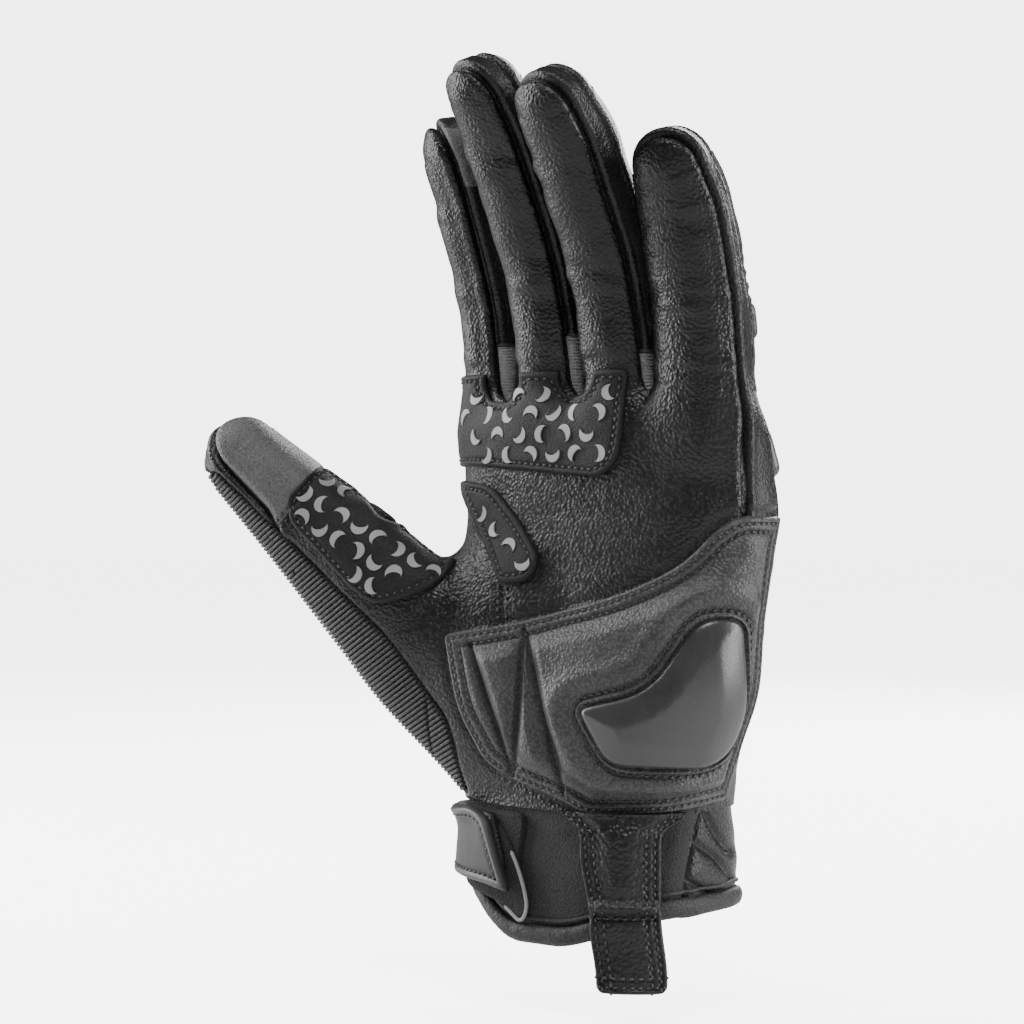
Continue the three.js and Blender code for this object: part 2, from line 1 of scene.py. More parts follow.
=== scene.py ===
"""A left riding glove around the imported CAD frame.

The shape is made in numpy in millimetres: a distance field of the hand is turned into a fine mesh,
the mesh is cut into sewn panels, and each panel is given its thickness, seams and padding.
+Z runs to the fingertips, -Y is the palm side and +X the little finger's side.
"""
import math
import bpy
import numpy as np
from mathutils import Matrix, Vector


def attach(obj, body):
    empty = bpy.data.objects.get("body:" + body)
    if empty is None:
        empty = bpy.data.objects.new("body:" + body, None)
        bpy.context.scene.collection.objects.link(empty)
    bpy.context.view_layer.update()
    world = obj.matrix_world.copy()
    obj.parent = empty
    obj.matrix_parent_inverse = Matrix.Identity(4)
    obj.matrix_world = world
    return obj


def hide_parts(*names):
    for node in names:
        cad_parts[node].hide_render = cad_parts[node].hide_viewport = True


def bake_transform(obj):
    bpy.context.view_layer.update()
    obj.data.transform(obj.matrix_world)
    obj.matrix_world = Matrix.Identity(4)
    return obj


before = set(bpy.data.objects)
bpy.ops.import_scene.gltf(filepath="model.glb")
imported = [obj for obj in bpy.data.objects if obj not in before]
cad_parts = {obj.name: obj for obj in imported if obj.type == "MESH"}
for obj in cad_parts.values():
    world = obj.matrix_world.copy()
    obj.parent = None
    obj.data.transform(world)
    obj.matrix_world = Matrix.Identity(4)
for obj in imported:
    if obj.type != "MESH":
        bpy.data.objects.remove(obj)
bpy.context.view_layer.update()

MM = 0.001
CELL = 1.5  # first grid of the hand's surface
FINE_STEPS = 1  # how often every triangle is split in four after that
SAMPLES = 10  # steps along a digit between two control points
SNAP = 0.02  # a cut passes through vertices this close to it
SLOPE_STEP = 0.25  # half the side of the box in which a field's slope is measured
SKIN = 1.3  # thickness of a leather panel
FAR = 50  # added to a distance where its seam doesn't count

# ---------------------------------------------------------------- numbers shared with the CAD source
HAND_ROWS = [  # height, centre x, centre y, half width, half depth
    (0, 1, 0, 34, 27), (16, 1, 0, 33.5, 26), (34, 1, 0, 33, 25), (48, 0.8, -2, 37.8, 24.5),
    (62, 1.6, -2, 42.1, 24), (78, 2.6, -1, 42.6, 22), (94, 4.4, 0, 43.4, 20.5), (108, 5.8, -0.5, 44.3, 18.5),
    (123, 5, -2, 43.5, 16), (136, 4.5, -4, 42.5, 13),
]
HAND_TOP = 133
HAND_POWER = 2.5
FINGER_POWER = 2.3
FINGERS = {
    "index": dict(
        knuckle=(-29.5, 0.5, 143), spread=-2.5, lean=(9, 20, 30), lengths=(19, 25, 13),
        widths=(10.3, 10.3, 10.3, 10, 9.3), depths=(11, 11.8, 11.5, 11, 9)),
    "middle": dict(
        knuckle=(-8.5, -5, 144), spread=-2, lean=(13, 26, 37), lengths=(24, 30, 16.5),
        widths=(10.2, 10.2, 10.2, 10, 9.3), depths=(11, 11.8, 11.5, 11, 9)),
    "ring": dict(
        knuckle=(12.5, -6, 143), spread=-1, lean=(14, 28, 38), lengths=(23, 29.5, 14),
        widths=(10.2, 10.2, 10.2, 10, 9.3), depths=(11, 11.8, 11.5, 11, 9)),
    "little": dict(
        knuckle=(34.8, -5, 141), spread=1, lean=(10, 19, 29), lengths=(17, 20, 12),
        widths=(11, 11.3, 11.2, 10.7, 9.4), depths=(10, 11.5, 11, 10.3, 8.8)),
}
FINGER_CUTS = {  # how far past its base and its middle joint a finger's panels are cut
    "index": (9, 13), "middle": (11.5, 15), "ring": (11.5, 15), "little": (8.2, 10.5),
}
ROOT_LENGTH = 34
THUMB_LINE = [
    (-14, -5, 38), (-23, -10, 48), (-38, -17, 67), (-52, -24, 83), (-72, -32, 103.5), (-87, -39, 119),
]
THUMB_WIDTHS = (10, 16, 19.5, 17.5, 13.6, 10.8)
THUMB_DEPTHS = (8, 14, 14, 12.5, 11, 9.5)
THUMB_ACROSS = (0.72, 0.04, 0.69)
THUMB_JOINT = np.array([-72, -32, 103.5])
THUMB_AXIS = np.array([-0.66, -0.28, 0.70])
THUMB_SIDE = np.array([-0.914, -0.406, 0])  # out of the hand towards the thumb
THUMB_START = 42  # the thumb's own panels start this far along THUMB_SIDE
THUMB_TOP = 130  # and lie below this height
THUMB_TIP_CUT = 10  # the tip's panels start this far before its joint
KNUCKLE_POINT = np.array([2, -4, 107])
KNUCKLE_TILT = math.radians(11)
WEB_HEIGHT = 134  # the fingers' own surfaces start here
FACE_TURN = math.radians(38)
FACE_RIGHT = np.array([math.cos(FACE_TURN), math.sin(FACE_TURN), 0])  # u runs along this
FACE_OUT = np.array([math.sin(FACE_TURN), -math.cos(FACE_TURN), 0])

# Outlines seen square on to the heel of the hand: u to the right, z up, corner radius.
HEEL_OUTLINE = [
    (-39, 74.5, 2), (-19.5, 78, 8), (4, 85, 8), (18.5, 92.5, 6), (26, 101, 4), (31, 104, 3), (60, 104, 4),
    (60, 36, 2), (31, 35.5, 3), (14, 33, 3), (-4, 32, 2), (-10, 35.5, 3), (-21.5, 39.5, 3), (-28.5, 43.7, 3),
    (-35.3, 56, 5),
]
SLIDER_OUTLINE = [
    (-5, 58, 3), (11, 62.5, 7), (22, 80, 4.5), (30.3, 80, 3.5), (31, 57, 7), (25, 45.4, 6), (1.5, 45.4, 4),
]
CROTCH_OUTLINE = [
    (-36, 113.5, 2), (-27, 111.5, 3), (-19.5, 101.5, 4), (-15, 93, 3), (-18, 87.8, 3), (-25.5, 87, 2),
    (-30, 99.5, 4), (-34, 108, 2),
]
FINGER_PATCH_OUTLINE = [
    (-48, 116.7, 2), (-31, 116.7, 2), (-0.5, 113.3, 3), (3.8, 118, 3), (6, 139.5, 2), (-48, 140.5, 2),
]
THUMB_PATCH_OUTLINE = [
    (-79.8, 108.5, 2), (-71, 118, 3), (-55, 114, 6), (-36.5, 103, 3), (-35.6, 94, 4), (-39.5, 87, 4),
    (-48, 83.8, 4), (-57, 81.3, 4), (-63, 86, 3), (-79, 102.5, 3),
]
RIB_OUTLINE = [
    (-98.5, 114.8, 1), (-83, 100.4, 2), (-53.7, 72.8, 4), (-39.2, 53, 4), (-34, 34, 1), (-130, 34, 1),
    (-130, 114.8, 1),
]


# ---------------------------------------------------------------- small numeric helpers
def unit(vectors):
    return vectors / (np.linalg.norm(vectors, axis=-1, keepdims=True) + 1e-12)


def smoothstep(low, high, value):
    t = np.clip((value - low) / (high - low), 0, 1)
    return t * t * (3 - 2 * t)


def smooth_min(a, b, reach):
    h = np.clip(0.5 + 0.5 * (b - a) / reach, 0, 1)
    return b * (1 - h) + a * h - reach * h * (1 - h)


def bell(distance, width):
    return np.exp(-((distance / width) ** 2))


def catmull(points, count):
    """Smooth curve through the points, with `count` steps between two of them."""
    p = np.asarray(points, float)
    p = np.vstack([2 * p[0] - p[1], p, 2 * p[-1] - p[-2]])
    t = np.linspace(0, 1, count, endpoint=False)[:, None]
    out = []
    for i in range(1, len(p) - 2):
        a, b, c, d = p[i - 1: i + 3]
        bend_2, bend_3 = 2 * a - 5 * b + 4 * c - d, 3 * b - a - 3 * c + d
        out.append(0.5 * (2 * b + (c - a) * t + bend_2 * t**2 + bend_3 * t**3))
    return np.vstack(out + [p[-2][None]])


def oval(x, y, a, b, power):
    """How far a point lies outside an oval, measured from its centre."""
    r = np.sqrt(x * x + y * y) + 1e-9
    k = (np.abs(x / a) ** power + np.abs(y / b) ** power) ** (1 / power) + 1e-9
    return r - r / k


def ellipsoid(points, centre, radii):
    q = points - np.asarray(centre, float)
    k = np.sqrt(((q / np.asarray(radii, float)) ** 2).sum(-1)) + 1e-9
    r = np.sqrt((q**2).sum(-1)) + 1e-9
    return r - r / k


def noise(points, size, seed):
    """Soft random field between about -1 and 1 with features of the given size."""
    rng = np.random.default_rng(seed)
    total = np.zeros(len(points))
    for _ in range(7):
        direction = unit(rng.normal(size=3)) * rng.uniform(0.7, 1.5)
        bent = 0.8 * np.sin(points @ unit(rng.normal(size=3)) * 1.7 / size + rng.uniform(0, 6))
        total += np.sin(points @ direction * 2 * math.pi / (2 * size) + bent + rng.uniform(0, 6.28))
    return total / 3.5


# ---------------------------------------------------------------- the hand's distance field
class Tube:
    """A digit: an oval section along a curve."""

    def __init__(self, line, widths, depths, across):
        rows = catmull(np.column_stack([line, widths, depths]), SAMPLES)
        self.centre, self.half = rows[:, :3], rows[:, 3:]
        step = np.gradient(self.centre, axis=0)
        self.pace = np.linalg.norm(step, axis=1)
        self.along = unit(step)
        side = np.asarray(across, float)
        self.side = unit(side - (self.along @ side)[:, None] * self.along)
        self.back = np.cross(self.along, self.side)

    def _local(self, points):
        near = ((self.centre**2).sum(1) - 2 * points @ self.centre.T).argmin(1)
        ahead = ((points - self.centre[near]) * self.along[near]).sum(1)
        last = len(self.centre) - 1
        place = np.clip(near + ahead / self.pace[near], 0, last)
        low = np.minimum(place.astype(int), last - 1)
        part = (place - low)[:, None]

        def mix(values):
            return values[low] * (1 - part) + values[low + 1] * part

        offset = points - mix(self.centre)
        half = mix(self.half)
        return (place, (offset * mix(self.along)).sum(1), (offset * mix(self.side)).sum(1),
                (offset * mix(self.back)).sum(1), half[:, 0], half[:, 1])

    def local(self, points):
        """Place along the line, distance past its end, sideways and backwards, half width and half depth."""
        chunks = np.array_split(points, max(1, len(points) // 100000))
        return [np.concatenate(column) for column in zip(*(self._local(chunk) for chunk in chunks))]

    def beside(self, points):
        """How far points lie sideways and backwards of the line."""
        return self.local(points)[2:4]

    def distance(self, points):
        place, past, side, back, width, depth = self.local(points)
        body = oval(side, back, width, depth, FINGER_POWER)
        radius = 0.5 * (width + depth)
        r = np.sqrt(side**2 + back**2 + past**2) + 1e-9
        k = np.sqrt((side / width) ** 2 + (back / depth) ** 2 + (past / radius) ** 2) + 1e-9
        at_tip = (place >= len(self.centre) - 1) & (past > 0)
        at_root = (place <= 0) & (past < 0)
        body = np.where(at_tip, r - r / k, body)
        return np.where(at_root, np.sqrt(np.maximum(body, 0) ** 2 + past**2), body)

    def joint(self, index):
        """Place and direction of the line at one of its control points."""
        return self.centre[index * SAMPLES], self.along[index * SAMPLES]


def make_finger_tube(knuckle, spread, lean, lengths, widths, depths):
    turn = math.radians(spread)
    across = np.array([math.cos(turn), 0, -math.sin(turn)])
    along = np.array([math.sin(turn), 0, math.cos(turn)])

    def bone(degrees):
        return along * math.cos(math.radians(degrees)) + np.array([0, -math.sin(math.radians(degrees)), 0])

    base = np.array(knuckle, float)
    line = [base - ROOT_LENGTH * bone(lean[0] - 6), base]
    for angle, length in zip(lean, lengths):
        line.append(line[-1] + length * bone(angle))
    return Tube(line, widths, depths, across)


tubes = {name: make_finger_tube(**values) for name, values in FINGERS.items()}
thumb = Tube(THUMB_LINE, THUMB_WIDTHS, THUMB_DEPTHS, THUMB_ACROSS)
hand_rows = catmull(HAND_ROWS, 12)


def palm_distance(points):
    cx, cy, a, b = (np.interp(points[:, 2], hand_rows[:, 0], hand_rows[:, j]) for j in range(1, 5))
    body = oval(points[:, 0] - cx, points[:, 1] - cy, a, b, HAND_POWER)
    return -smooth_min(-body, HAND_TOP - points[:, 2], 10)


def finger_distances(points):
    return np.stack([tube.distance(points) for tube in tubes.values()])


def hand_distance(points):
    fingers = finger_distances(points).min(0)
    body = smooth_min(palm_distance(points), fingers, 6)
    body = smooth_min(body, thumb.distance(points), 12)
    return smooth_min(body, ellipsoid(points, (-18, -14, 70), (20, 12, 26)), 10)


def finger_field(name):
    return lambda points: smooth_min(palm_distance(points), tubes[name].distance(points), 6)


def slope(field, points):
    """Gradient of a field, from the four corners of a small tetrahedron."""
    corners = np.array([[1, -1, -1], [-1, -1, 1], [-1, 1, -1], [1, 1, 1]]) * SLOPE_STEP
    return sum(corner * field(points + corner)[:, None] for corner in corners) / (4 * SLOPE_STEP**2)


def settle(field, points, rounds):
    """Moves points onto the field's zero surface."""
    for _ in range(rounds):
        grade = slope(field, points)
        points = points - (field(points) / ((grade**2).sum(1) + 1e-9))[:, None] * grade
    return points


# ---------------------------------------------------------------- meshes with columns of numbers
def edge_keys(pairs, count):
    ordered = np.sort(pairs, axis=-1)
    return ordered[..., 0] * count + ordered[..., 1]


def unique_edges(pairs, count):
    """The different edges among the pairs, and which of them each pair is."""
    unique, place = np.unique(edge_keys(pairs, count), return_inverse=True)
    return np.stack([unique // count, unique % count], axis=1), place.ravel()


def turned(rows, first):
    """The three columns of the rows, each row turned so that it starts at its own column `first`."""
    return np.take_along_axis(rows, (first[:, None] + np.arange(3)) % 3, 1).T


def triangles(*corners):
    return np.stack(corners, 1)


class Mesh:
    """Triangles with named columns at their corners. A cut or a split carries all columns along."""

    def __init__(self, columns, faces):
        self.columns = columns
        self.faces = faces

    def __getitem__(self, name):
        return self.columns[name]

    def __setitem__(self, name, values):
        self.columns[name] = values

    def __len__(self):
        return len(self["rest"])

    def u(self):
        return self["rest"] @ FACE_RIGHT

    def inside(self, outline):
        """Depth inside an outline that is drawn square on to the heel of the hand."""
        return depth_in(outline, self.u(), self["rest"][:, 2])

    def off_lines(self, *lines):
        """Distance from the nearest of some lines drawn in the same way."""
        return np.min([distance_to_line(line, self.u(), self["rest"][:, 2]) for line in lines], axis=0)

    def _with_edges(self, ends, share):
        """Columns with one new vertex for each pair of ends, `share` of the way along."""
        made = {}
        for name, values in self.columns.items():
            part = share if values.ndim == 1 else share[:, None]
            between = values[ends[:, 0]] * (1 - part) + values[ends[:, 1]] * part
            made[name] = np.concatenate([values, between])
        return made

    def split(self, near):
        """Splits every edge that has an end where `near` is true."""
        count = len(self)
        edges = np.stack([self.faces, np.roll(self.faces, -1, axis=1)], axis=2)
        marked = near[edges].any(2)
        ends, place = unique_edges(edges[marked], count)
        middle = np.full(marked.shape, -1)
        middle[marked] = place + count
        columns = self._with_edges(ends, np.full(len(ends), 0.5))
        number = marked.sum(1)
        out = [self.faces[number == 0]]
        a, b, c = self.faces[number == 3].T
        ab, bc, ca = middle[number == 3].T
        out += [triangles(*t) for t in ((a, ab, ca), (ab, b, bc), (ca, bc, c), (ab, bc, ca))]
        for wanted in (1, 2):
            rows = np.flatnonzero(number == wanted)
            first = (marked[rows] == (wanted == 1)).argmax(1)
            a, b, c = turned(self.faces[rows], first)
            ab, bc, ca = turned(middle[rows], first)
            made = ((a, ab, c), (ab, b, c)) if wanted == 1 else ((a, b, bc), (a, bc, ca), (ca, bc, c))
            out += [triangles(*t) for t in made]
        return Mesh(columns, np.concatenate(out))

    def cut(self, level):
        """The part where `level` is positive, cut exactly along zero."""
        level = np.where(np.abs(level) < SNAP, 0.0, level)
        sign = np.sign(level)[self.faces]
        keep = sign >= 0
        alive = (sign > 0).any(1)
        out = [self.faces[alive & keep.all(1)]]
        count = len(self)
        pairs, shapes = [], []
        for kept in (1, 2):
            rows = np.flatnonzero(alive & (keep.sum(1) == kept))
            a, b, c = turned(self.faces[rows], (keep[rows] == (kept == 1)).argmax(1))
            pairs += [np.stack([a, b], 1), np.stack([a, c], 1)]
            shapes.append((a, b, c))
        joined = np.concatenate(pairs)
        ends, place = unique_edges(joined, count)
        low, high = level[ends[:, 0]], level[ends[:, 1]]
        columns = self._with_edges(ends, low / np.where(low == high, 1, low - high))
        columns["level"] = np.concatenate([level, np.zeros(len(ends))])
        new = place + count
        for column in (0, 1):
            on_zero = level[joined[:, column]] == 0
            new = np.where(on_zero, joined[:, column], new)
        parts = np.split(new, np.cumsum([len(p) for p in pairs])[:-1])
        (a, _, _), (_, b, c) = shapes
        out += [triangles(a, parts[0], parts[1]), triangles(parts[2], b, c), triangles(parts[2], c, parts[3])]
        faces = np.concatenate(out)
        good = (faces[:, 0] != faces[:, 1]) & (faces[:, 1] != faces[:, 2]) & (faces[:, 2] != faces[:, 0])
        return Mesh(columns, faces[good]).tidy()

    def tidy(self):
        used, place = np.unique(self.faces, return_inverse=True)
        return Mesh({n: v[used] for n, v in self.columns.items()}, place.reshape(-1, 3))

    def normals(self, points):
        a, b, c = (points[self.faces[:, i]] for i in range(3))
        face = np.cross(b - a, c - a)
        total = [sum(np.bincount(self.faces[:, i], part, len(points)) for i in range(3)) for part in face.T]
        return unit(np.stack(total, axis=1))

    def trace(self, level, at):
        """Lines where `level` equals `at`: a list of (points, normals) on the displaced surface."""
        value = np.where(level == at, at + 1e-7, level) - at
        high = value[self.faces] > 0
        rows = np.flatnonzero(high.any(1) & ~high.all(1))
        if not len(rows):
            return []
        alone = np.where(high[rows].sum(1) == 1, high[rows].argmax(1), (~high[rows]).argmax(1))
        a, b, c = turned(self.faces[rows], alone)
        ends, place = unique_edges(np.concatenate([np.stack([a, b], 1), np.stack([a, c], 1)]), len(self))
        low, top = value[ends[:, 0]], value[ends[:, 1]]
        share = (low / (low - top))[:, None]
        points, normals = (
            self[name][ends[:, 0]] * (1 - share) + self[name][ends[:, 1]] * share
            for name in ("place", "normal")
        )
        links = {}
        for p, q in zip(place[: len(rows)].tolist(), place[len(rows):].tolist()):
            links.setdefault(p, []).append(q)
            links.setdefault(q, []).append(p)
        lines, seen = [], set()
        starts = [p for p in links if len(links[p]) == 1] + list(links)
        for start in starts:
            if start in seen:
                continue
            line, here = [start], start
            seen.add(start)
            while True:
                onward = [q for q in links[here] if q not in seen]
                if not onward:
                    break
                here = onward[0]
                seen.add(here)
                line.append(here)
            if len(line) > 2 and start in links[line[-1]]:
                line.append(start)
            if len(line) > 2:
                lines.append((points[line], unit(normals[line])))
        return lines


def refined(mesh, near, reaches):
    """Splits the triangles where `near(mesh, reach)` is true, once for each reach."""
    for reach in reaches:
        mesh = mesh.split(near(mesh, reach))
    return mesh


def surface(field, low, high):
    """The field's zero surface as a mesh, from a grid that is the same for all fields."""
    low, high = (np.round(np.asarray(corner, float) / (3 * CELL)).astype(int) * 3 for corner in (low, high))
    size = high - low + 1
    coarse_axes = [np.arange(low[i], high[i] + 1, 3) * CELL for i in range(3)]
    grid = np.stack(np.meshgrid(*coarse_axes, indexing="ij"), -1)
    rough = field(grid.reshape(-1, 3)).reshape(grid.shape[:3])
    for axis in range(3):
        fine = np.arange(size[axis]) / 3
        start = np.minimum(fine.astype(int), rough.shape[axis] - 2)
        part = (fine - start).reshape([-1 if i == axis else 1 for i in range(3)])
        rough = np.take(rough, start, axis) * (1 - part) + np.take(rough, start + 1, axis) * part
    near = np.argwhere(np.abs(rough) < 3 * CELL + 2.5)
    values = rough
    values[tuple(near.T)] = field((near + low) * CELL)
    inside = values < 0
    corners = [(i, j, k) for i in (0, 1) for j in (0, 1) for k in (0, 1)]

    def at(array, corner):
        return array[tuple(slice(c, array.shape[i] - 1 + c) for i, c in enumerate(corner))]

    number = sum(at(inside, corner).astype(int) for corner in corners)
    cells = np.argwhere((number > 0) & (number < 8))
    total, hits = np.zeros((len(cells), 3)), np.zeros(len(cells))
    for p in corners:
        for axis in range(3):
            if p[axis]:
                continue
            q = tuple(c + (i == axis) for i, c in enumerate(p))
            a, b = values[tuple((cells + p).T)], values[tuple((cells + q).T)]
            crossing = (a < 0) != (b < 0)
            share = np.where(crossing, a / np.where(crossing, a - b, 1), 0)
            spot = np.array(p, float) + share[:, None] * (np.arange(3) == axis)
            total += np.where(crossing[:, None], spot, 0)
            hits += crossing
    points = (cells + total / hits[:, None] + low) * CELL
    index = np.full(number.shape, -1)
    index[tuple(cells.T)] = np.arange(len(cells))
    faces = []
    for axis in range(3):
        i, j = (axis + 1) % 3, (axis + 2) % 3
        first = tuple(slice(0, -1) if k == axis else slice(1, -1) for k in range(3))
        second = tuple(slice(1, None) if k == axis else slice(1, -1) for k in range(3))
        starts = np.argwhere(inside[first] != inside[second])
        base = starts + (np.arange(3) != axis)
        quads = []
        for di, dj in ((-1, -1), (0, -1), (0, 0), (-1, 0)):
            cell = base.copy()
            cell[:, i] += di
            cell[:, j] += dj
            quads.append(index[tuple(cell.T)])
        quad = np.stack(quads, 1)
        flip = ~inside[tuple(base.T)]
        quad[flip] = quad[flip][:, ::-1]
        faces += [quad[:, [0, 1, 2]], quad[:, [0, 2, 3]]]
    mesh = Mesh({"rest": settle(field, points, 2)}, np.concatenate(faces))
    for _ in range(FINE_STEPS):
        mesh = mesh.split(np.ones(len(mesh), bool))
    mesh["rest"] = settle(field, mesh["rest"], 1)
    return mesh


def rounded_outline(corners):
    """Outline with rounded corners, each (across, up, radius)."""
    points = []
    for i, (x, y, radius) in enumerate(corners):
        corner = np.array([x, y], float)
        before = np.array(corners[i - 1][:2], float)
        after = np.array(corners[(i + 1) % len(corners)][:2], float)
        start = corner + radius * unit(before - corner)
        end = corner + radius * unit(after - corner)
        for t in np.linspace(0, 1, 7):
            points.append(start * (1 - t) ** 2 + corner * 2 * t * (1 - t) + end * t * t)
    return np.array(points)


def distance_to_line(line, across, up):
    """Distance from points to a line of straight pieces."""
    nearest = np.full(len(across), 1e9)
    for (ax, ay), (bx, by) in zip(line[:-1], line[1:]):
        dx, dy = bx - ax, by - ay
        t = np.clip(((across - ax) * dx + (up - ay) * dy) / (dx * dx + dy * dy + 1e-12), 0, 1)
        nearest = np.minimum(nearest, np.hypot(across - ax - t * dx, up - ay - t * dy))
    return nearest


def depth_in(corners, across, up):
    """How far points lie inside a rounded outline, negative outside."""
    line = rounded_outline(corners)
    line = np.vstack([line, line[:1]])
    odd = np.zeros(len(across), bool)
    for (ax, ay), (bx, by) in zip(line[:-1], line[1:]):
        if ay != by:
            odd ^= ((ay > up) != (by > up)) & (across < (bx - ax) * (up - ay) / (by - ay) + ax)
    return np.where(odd, 1, -1) * distance_to_line(line, across, up)


# ---------------------------------------------------------------- panels and seams
PANEL_TURN = {"index": -44, "middle": -20, "ring": -13, "little": 7}  # degrees each palm panel is turned
PANEL_EDGE = 0.34  # a panel ends where the surface faces this far forwards
FINGER_NAMES = list(FINGERS)
GUSSETS = {  # the window of each gusset beside its finger
    "index": [(-27.5, 147, 1), (-21.2, 147, 1), (-21.2, 138, 3), (-24, 130, 1.5), (-27.5, 138, 3)],
    "middle": [(-9.4, 148.5, 1), (-3.4, 148.5, 1), (-3.4, 139, 3), (-6.4, 130, 1.5), (-9.4, 139, 3)],
    "ring": [(7, 143.5, 1), (13.2, 143.5, 1), (12.8, 137, 3), (8.2, 129, 1.5), (6.4, 133, 2)],
}
DARTS = [((-32.2, 72), (-21.5, 40.5)), ((-18.9, 76.3), (-21.2, 42)), ((-18.9, 76.3), (-9.5, 37.5))]
QUILT = [
    ((23.8, 34), (20.9, 23.9), (19.3, 16.7), (18.5, 6)), ((23.8, 34), (28, 26), (31, 22)),
    ((21, 26), (27, 21.5), (32, 15)), ((19.3, 16.7), (25, 13.5), (31, 8)),
]
THUMB_SEAM = ((-70.5, 117), (-82.8, 101))
BACK_SEAMS = [((-25, 108), (-17, 72), (-12, 34)), ((31, 108), (22, 72), (15, 34))]  # x and z
CROTCH_SEAM = (-24.9, 77.5, 87.5)  # u, lowest z and highest z


def panel_side(tube, degrees, points):
    """Distance inside a digit's palm panel, and the same for the seam of its back panel."""
    place, _, side, back, width, depth = tube.local(points)
    turn = np.radians(degrees(place / SAMPLES) if callable(degrees) else degrees)
    facing = side / width * np.sin(turn) - back / depth * np.cos(turn)
    return (facing - PANEL_EDGE) * depth, (facing + PANEL_EDGE) * depth


def thumb_panel_turn(place):
    return 10 + 58 * smoothstep(3.3, 4.3, place)


def seam_fields(points):
    """Distance inside the palm panel, and distance in front of the back seam, over the whole glove."""
    x, y, z = points.T
    front = -2 - 6 * smoothstep(-20, 30, x) - y
    behind = np.full(len(points), 20.0)
    high = np.flatnonzero(z > 116)
    nearest = finger_distances(points[high]).argmin(0)
    for i, name in enumerate(FINGER_NAMES):
        rows = high[nearest == i]
        on_panel, on_back = panel_side(tubes[name], PANEL_TURN[name], points[rows])
        weight = smoothstep(120, 138, z[rows])
        front[rows] = front[rows] * (1 - weight) + on_panel * weight
        behind[rows] = np.where(z[rows] > WEB_HEIGHT, on_back, 20)
    out = np.flatnonzero(points @ THUMB_SIDE > 34)
    out = out[z[out] < THUMB_TOP]
    on_panel, on_back = panel_side(thumb, thumb_panel_turn, points[out])
    weight = smoothstep(36, 58, points[out] @ THUMB_SIDE)
    front[out] = front[out] * (1 - weight) + on_panel * weight
    behind[out] = on_back * weight + 20 * (1 - weight)
    return front, behind


def heel_depth(points):
    return np.minimum(depth_in(HEEL_OUTLINE, points @ FACE_RIGHT, points[:, 2]), 3 - points[:, 1])


def front_only(corners, points, back_limit=-4.0):
    return np.minimum(depth_in(corners, points @ FACE_RIGHT, points[:, 2]), back_limit - points[:, 1])


def hem_rise(x):
    return smoothstep(5, 33, -x) * 13 + smoothstep(5, 35, x) * 8


def hem_height(points):
    return points[:, 2] - hem_rise(points[:, 0])


def thumb_seam_distance(mesh):
    """Distance from the seam across the thumb's palm side, far away everywhere else."""
    return mesh.off_lines(THUMB_SEAM) + FAR * (mesh["front"] < 0.5)


def back_seam_distance(mesh):
    """Distance from the seams down the back of the hand, far away in front."""
    x, y, z = mesh["rest"].T
    return np.min([distance_to_line(line, x, z) for line in BACK_SEAMS], axis=0) + FAR * (y < 2)


def leather_relief(mesh):
    """How far the sewn leather stands off the plain surface."""
    points = mesh["rest"]
    u, z = mesh.u(), points[:, 2]
    front, behind = mesh["front"], mesh["behind"]
    relief = 0.25 * noise(points, 11, 1) + 0.12 * noise(points, 5, 2)
    relief += 0.55 * bell(front + 1.9, 1.2) - 1.5 * bell(front, 0.65) + 0.55 * bell(front - 1.9, 1.3)
    relief += 0.25 * bell(behind + 1.5, 1.0) - 0.9 * bell(behind, 0.6)
    relief -= 1.1 * bell(np.hypot(u - 22, (z - 111) * 1.4), 8) * (front > 0)
    relief -= 0.9 * bell(np.hypot((u - 36) * 1.2, z - 112), 7)
    relief -= 0.6 * bell(mesh["heel"] + 0.9, 1.2)
    relief -= 0.9 * bell(thumb_seam_distance(mesh), 0.8)
    relief += 0.3 * bell(back_seam_distance(mesh) - 2.2, 1.2) - 0.9 * bell(back_seam_distance(mesh), 0.7)
    along_crotch = smoothstep(CROTCH_SEAM[2] + 0.5, CROTCH_SEAM[2] - 1.5, z) * smoothstep(76, 78, z)
    return relief - 0.45 * bell(u - CROTCH_SEAM[0], 1.6) * (front > 2) * along_crotch


def with_layers(mesh):
    """Adds the seam fields and the leather's relief to a surface, with finer triangles at the seams."""
    for seam_reach, back_reach in ((2.2, 1.0), (1.0, 0.5)):
        front, behind = seam_fields(mesh["rest"])
        edge = front_only(RIB_OUTLINE, mesh["rest"], 60)
        near = (np.abs(front) < seam_reach) | (np.abs(behind) < back_reach) | (np.abs(edge) < back_reach)
        near |= back_seam_distance(mesh) < back_reach
        mesh = mesh.split(near)
    mesh["front"], mesh["behind"] = seam_fields(mesh["rest"])
    mesh["ribs"] = front_only(RIB_OUTLINE, mesh["rest"], 60)
    mesh["heel"] = heel_depth(mesh["rest"])
    mesh["out"] = mesh.normals(mesh["rest"])
    relief = leather_relief(mesh) - 0.8 * bell(mesh["ribs"], 0.7)
    return raised(mesh, relief)


def raised(mesh, height):
    mesh["height"] = height
    mesh["place"] = mesh["rest"] + mesh["out"] * height[:, None]
    mesh["normal"] = mesh.normals(mesh["place"])
    return mesh


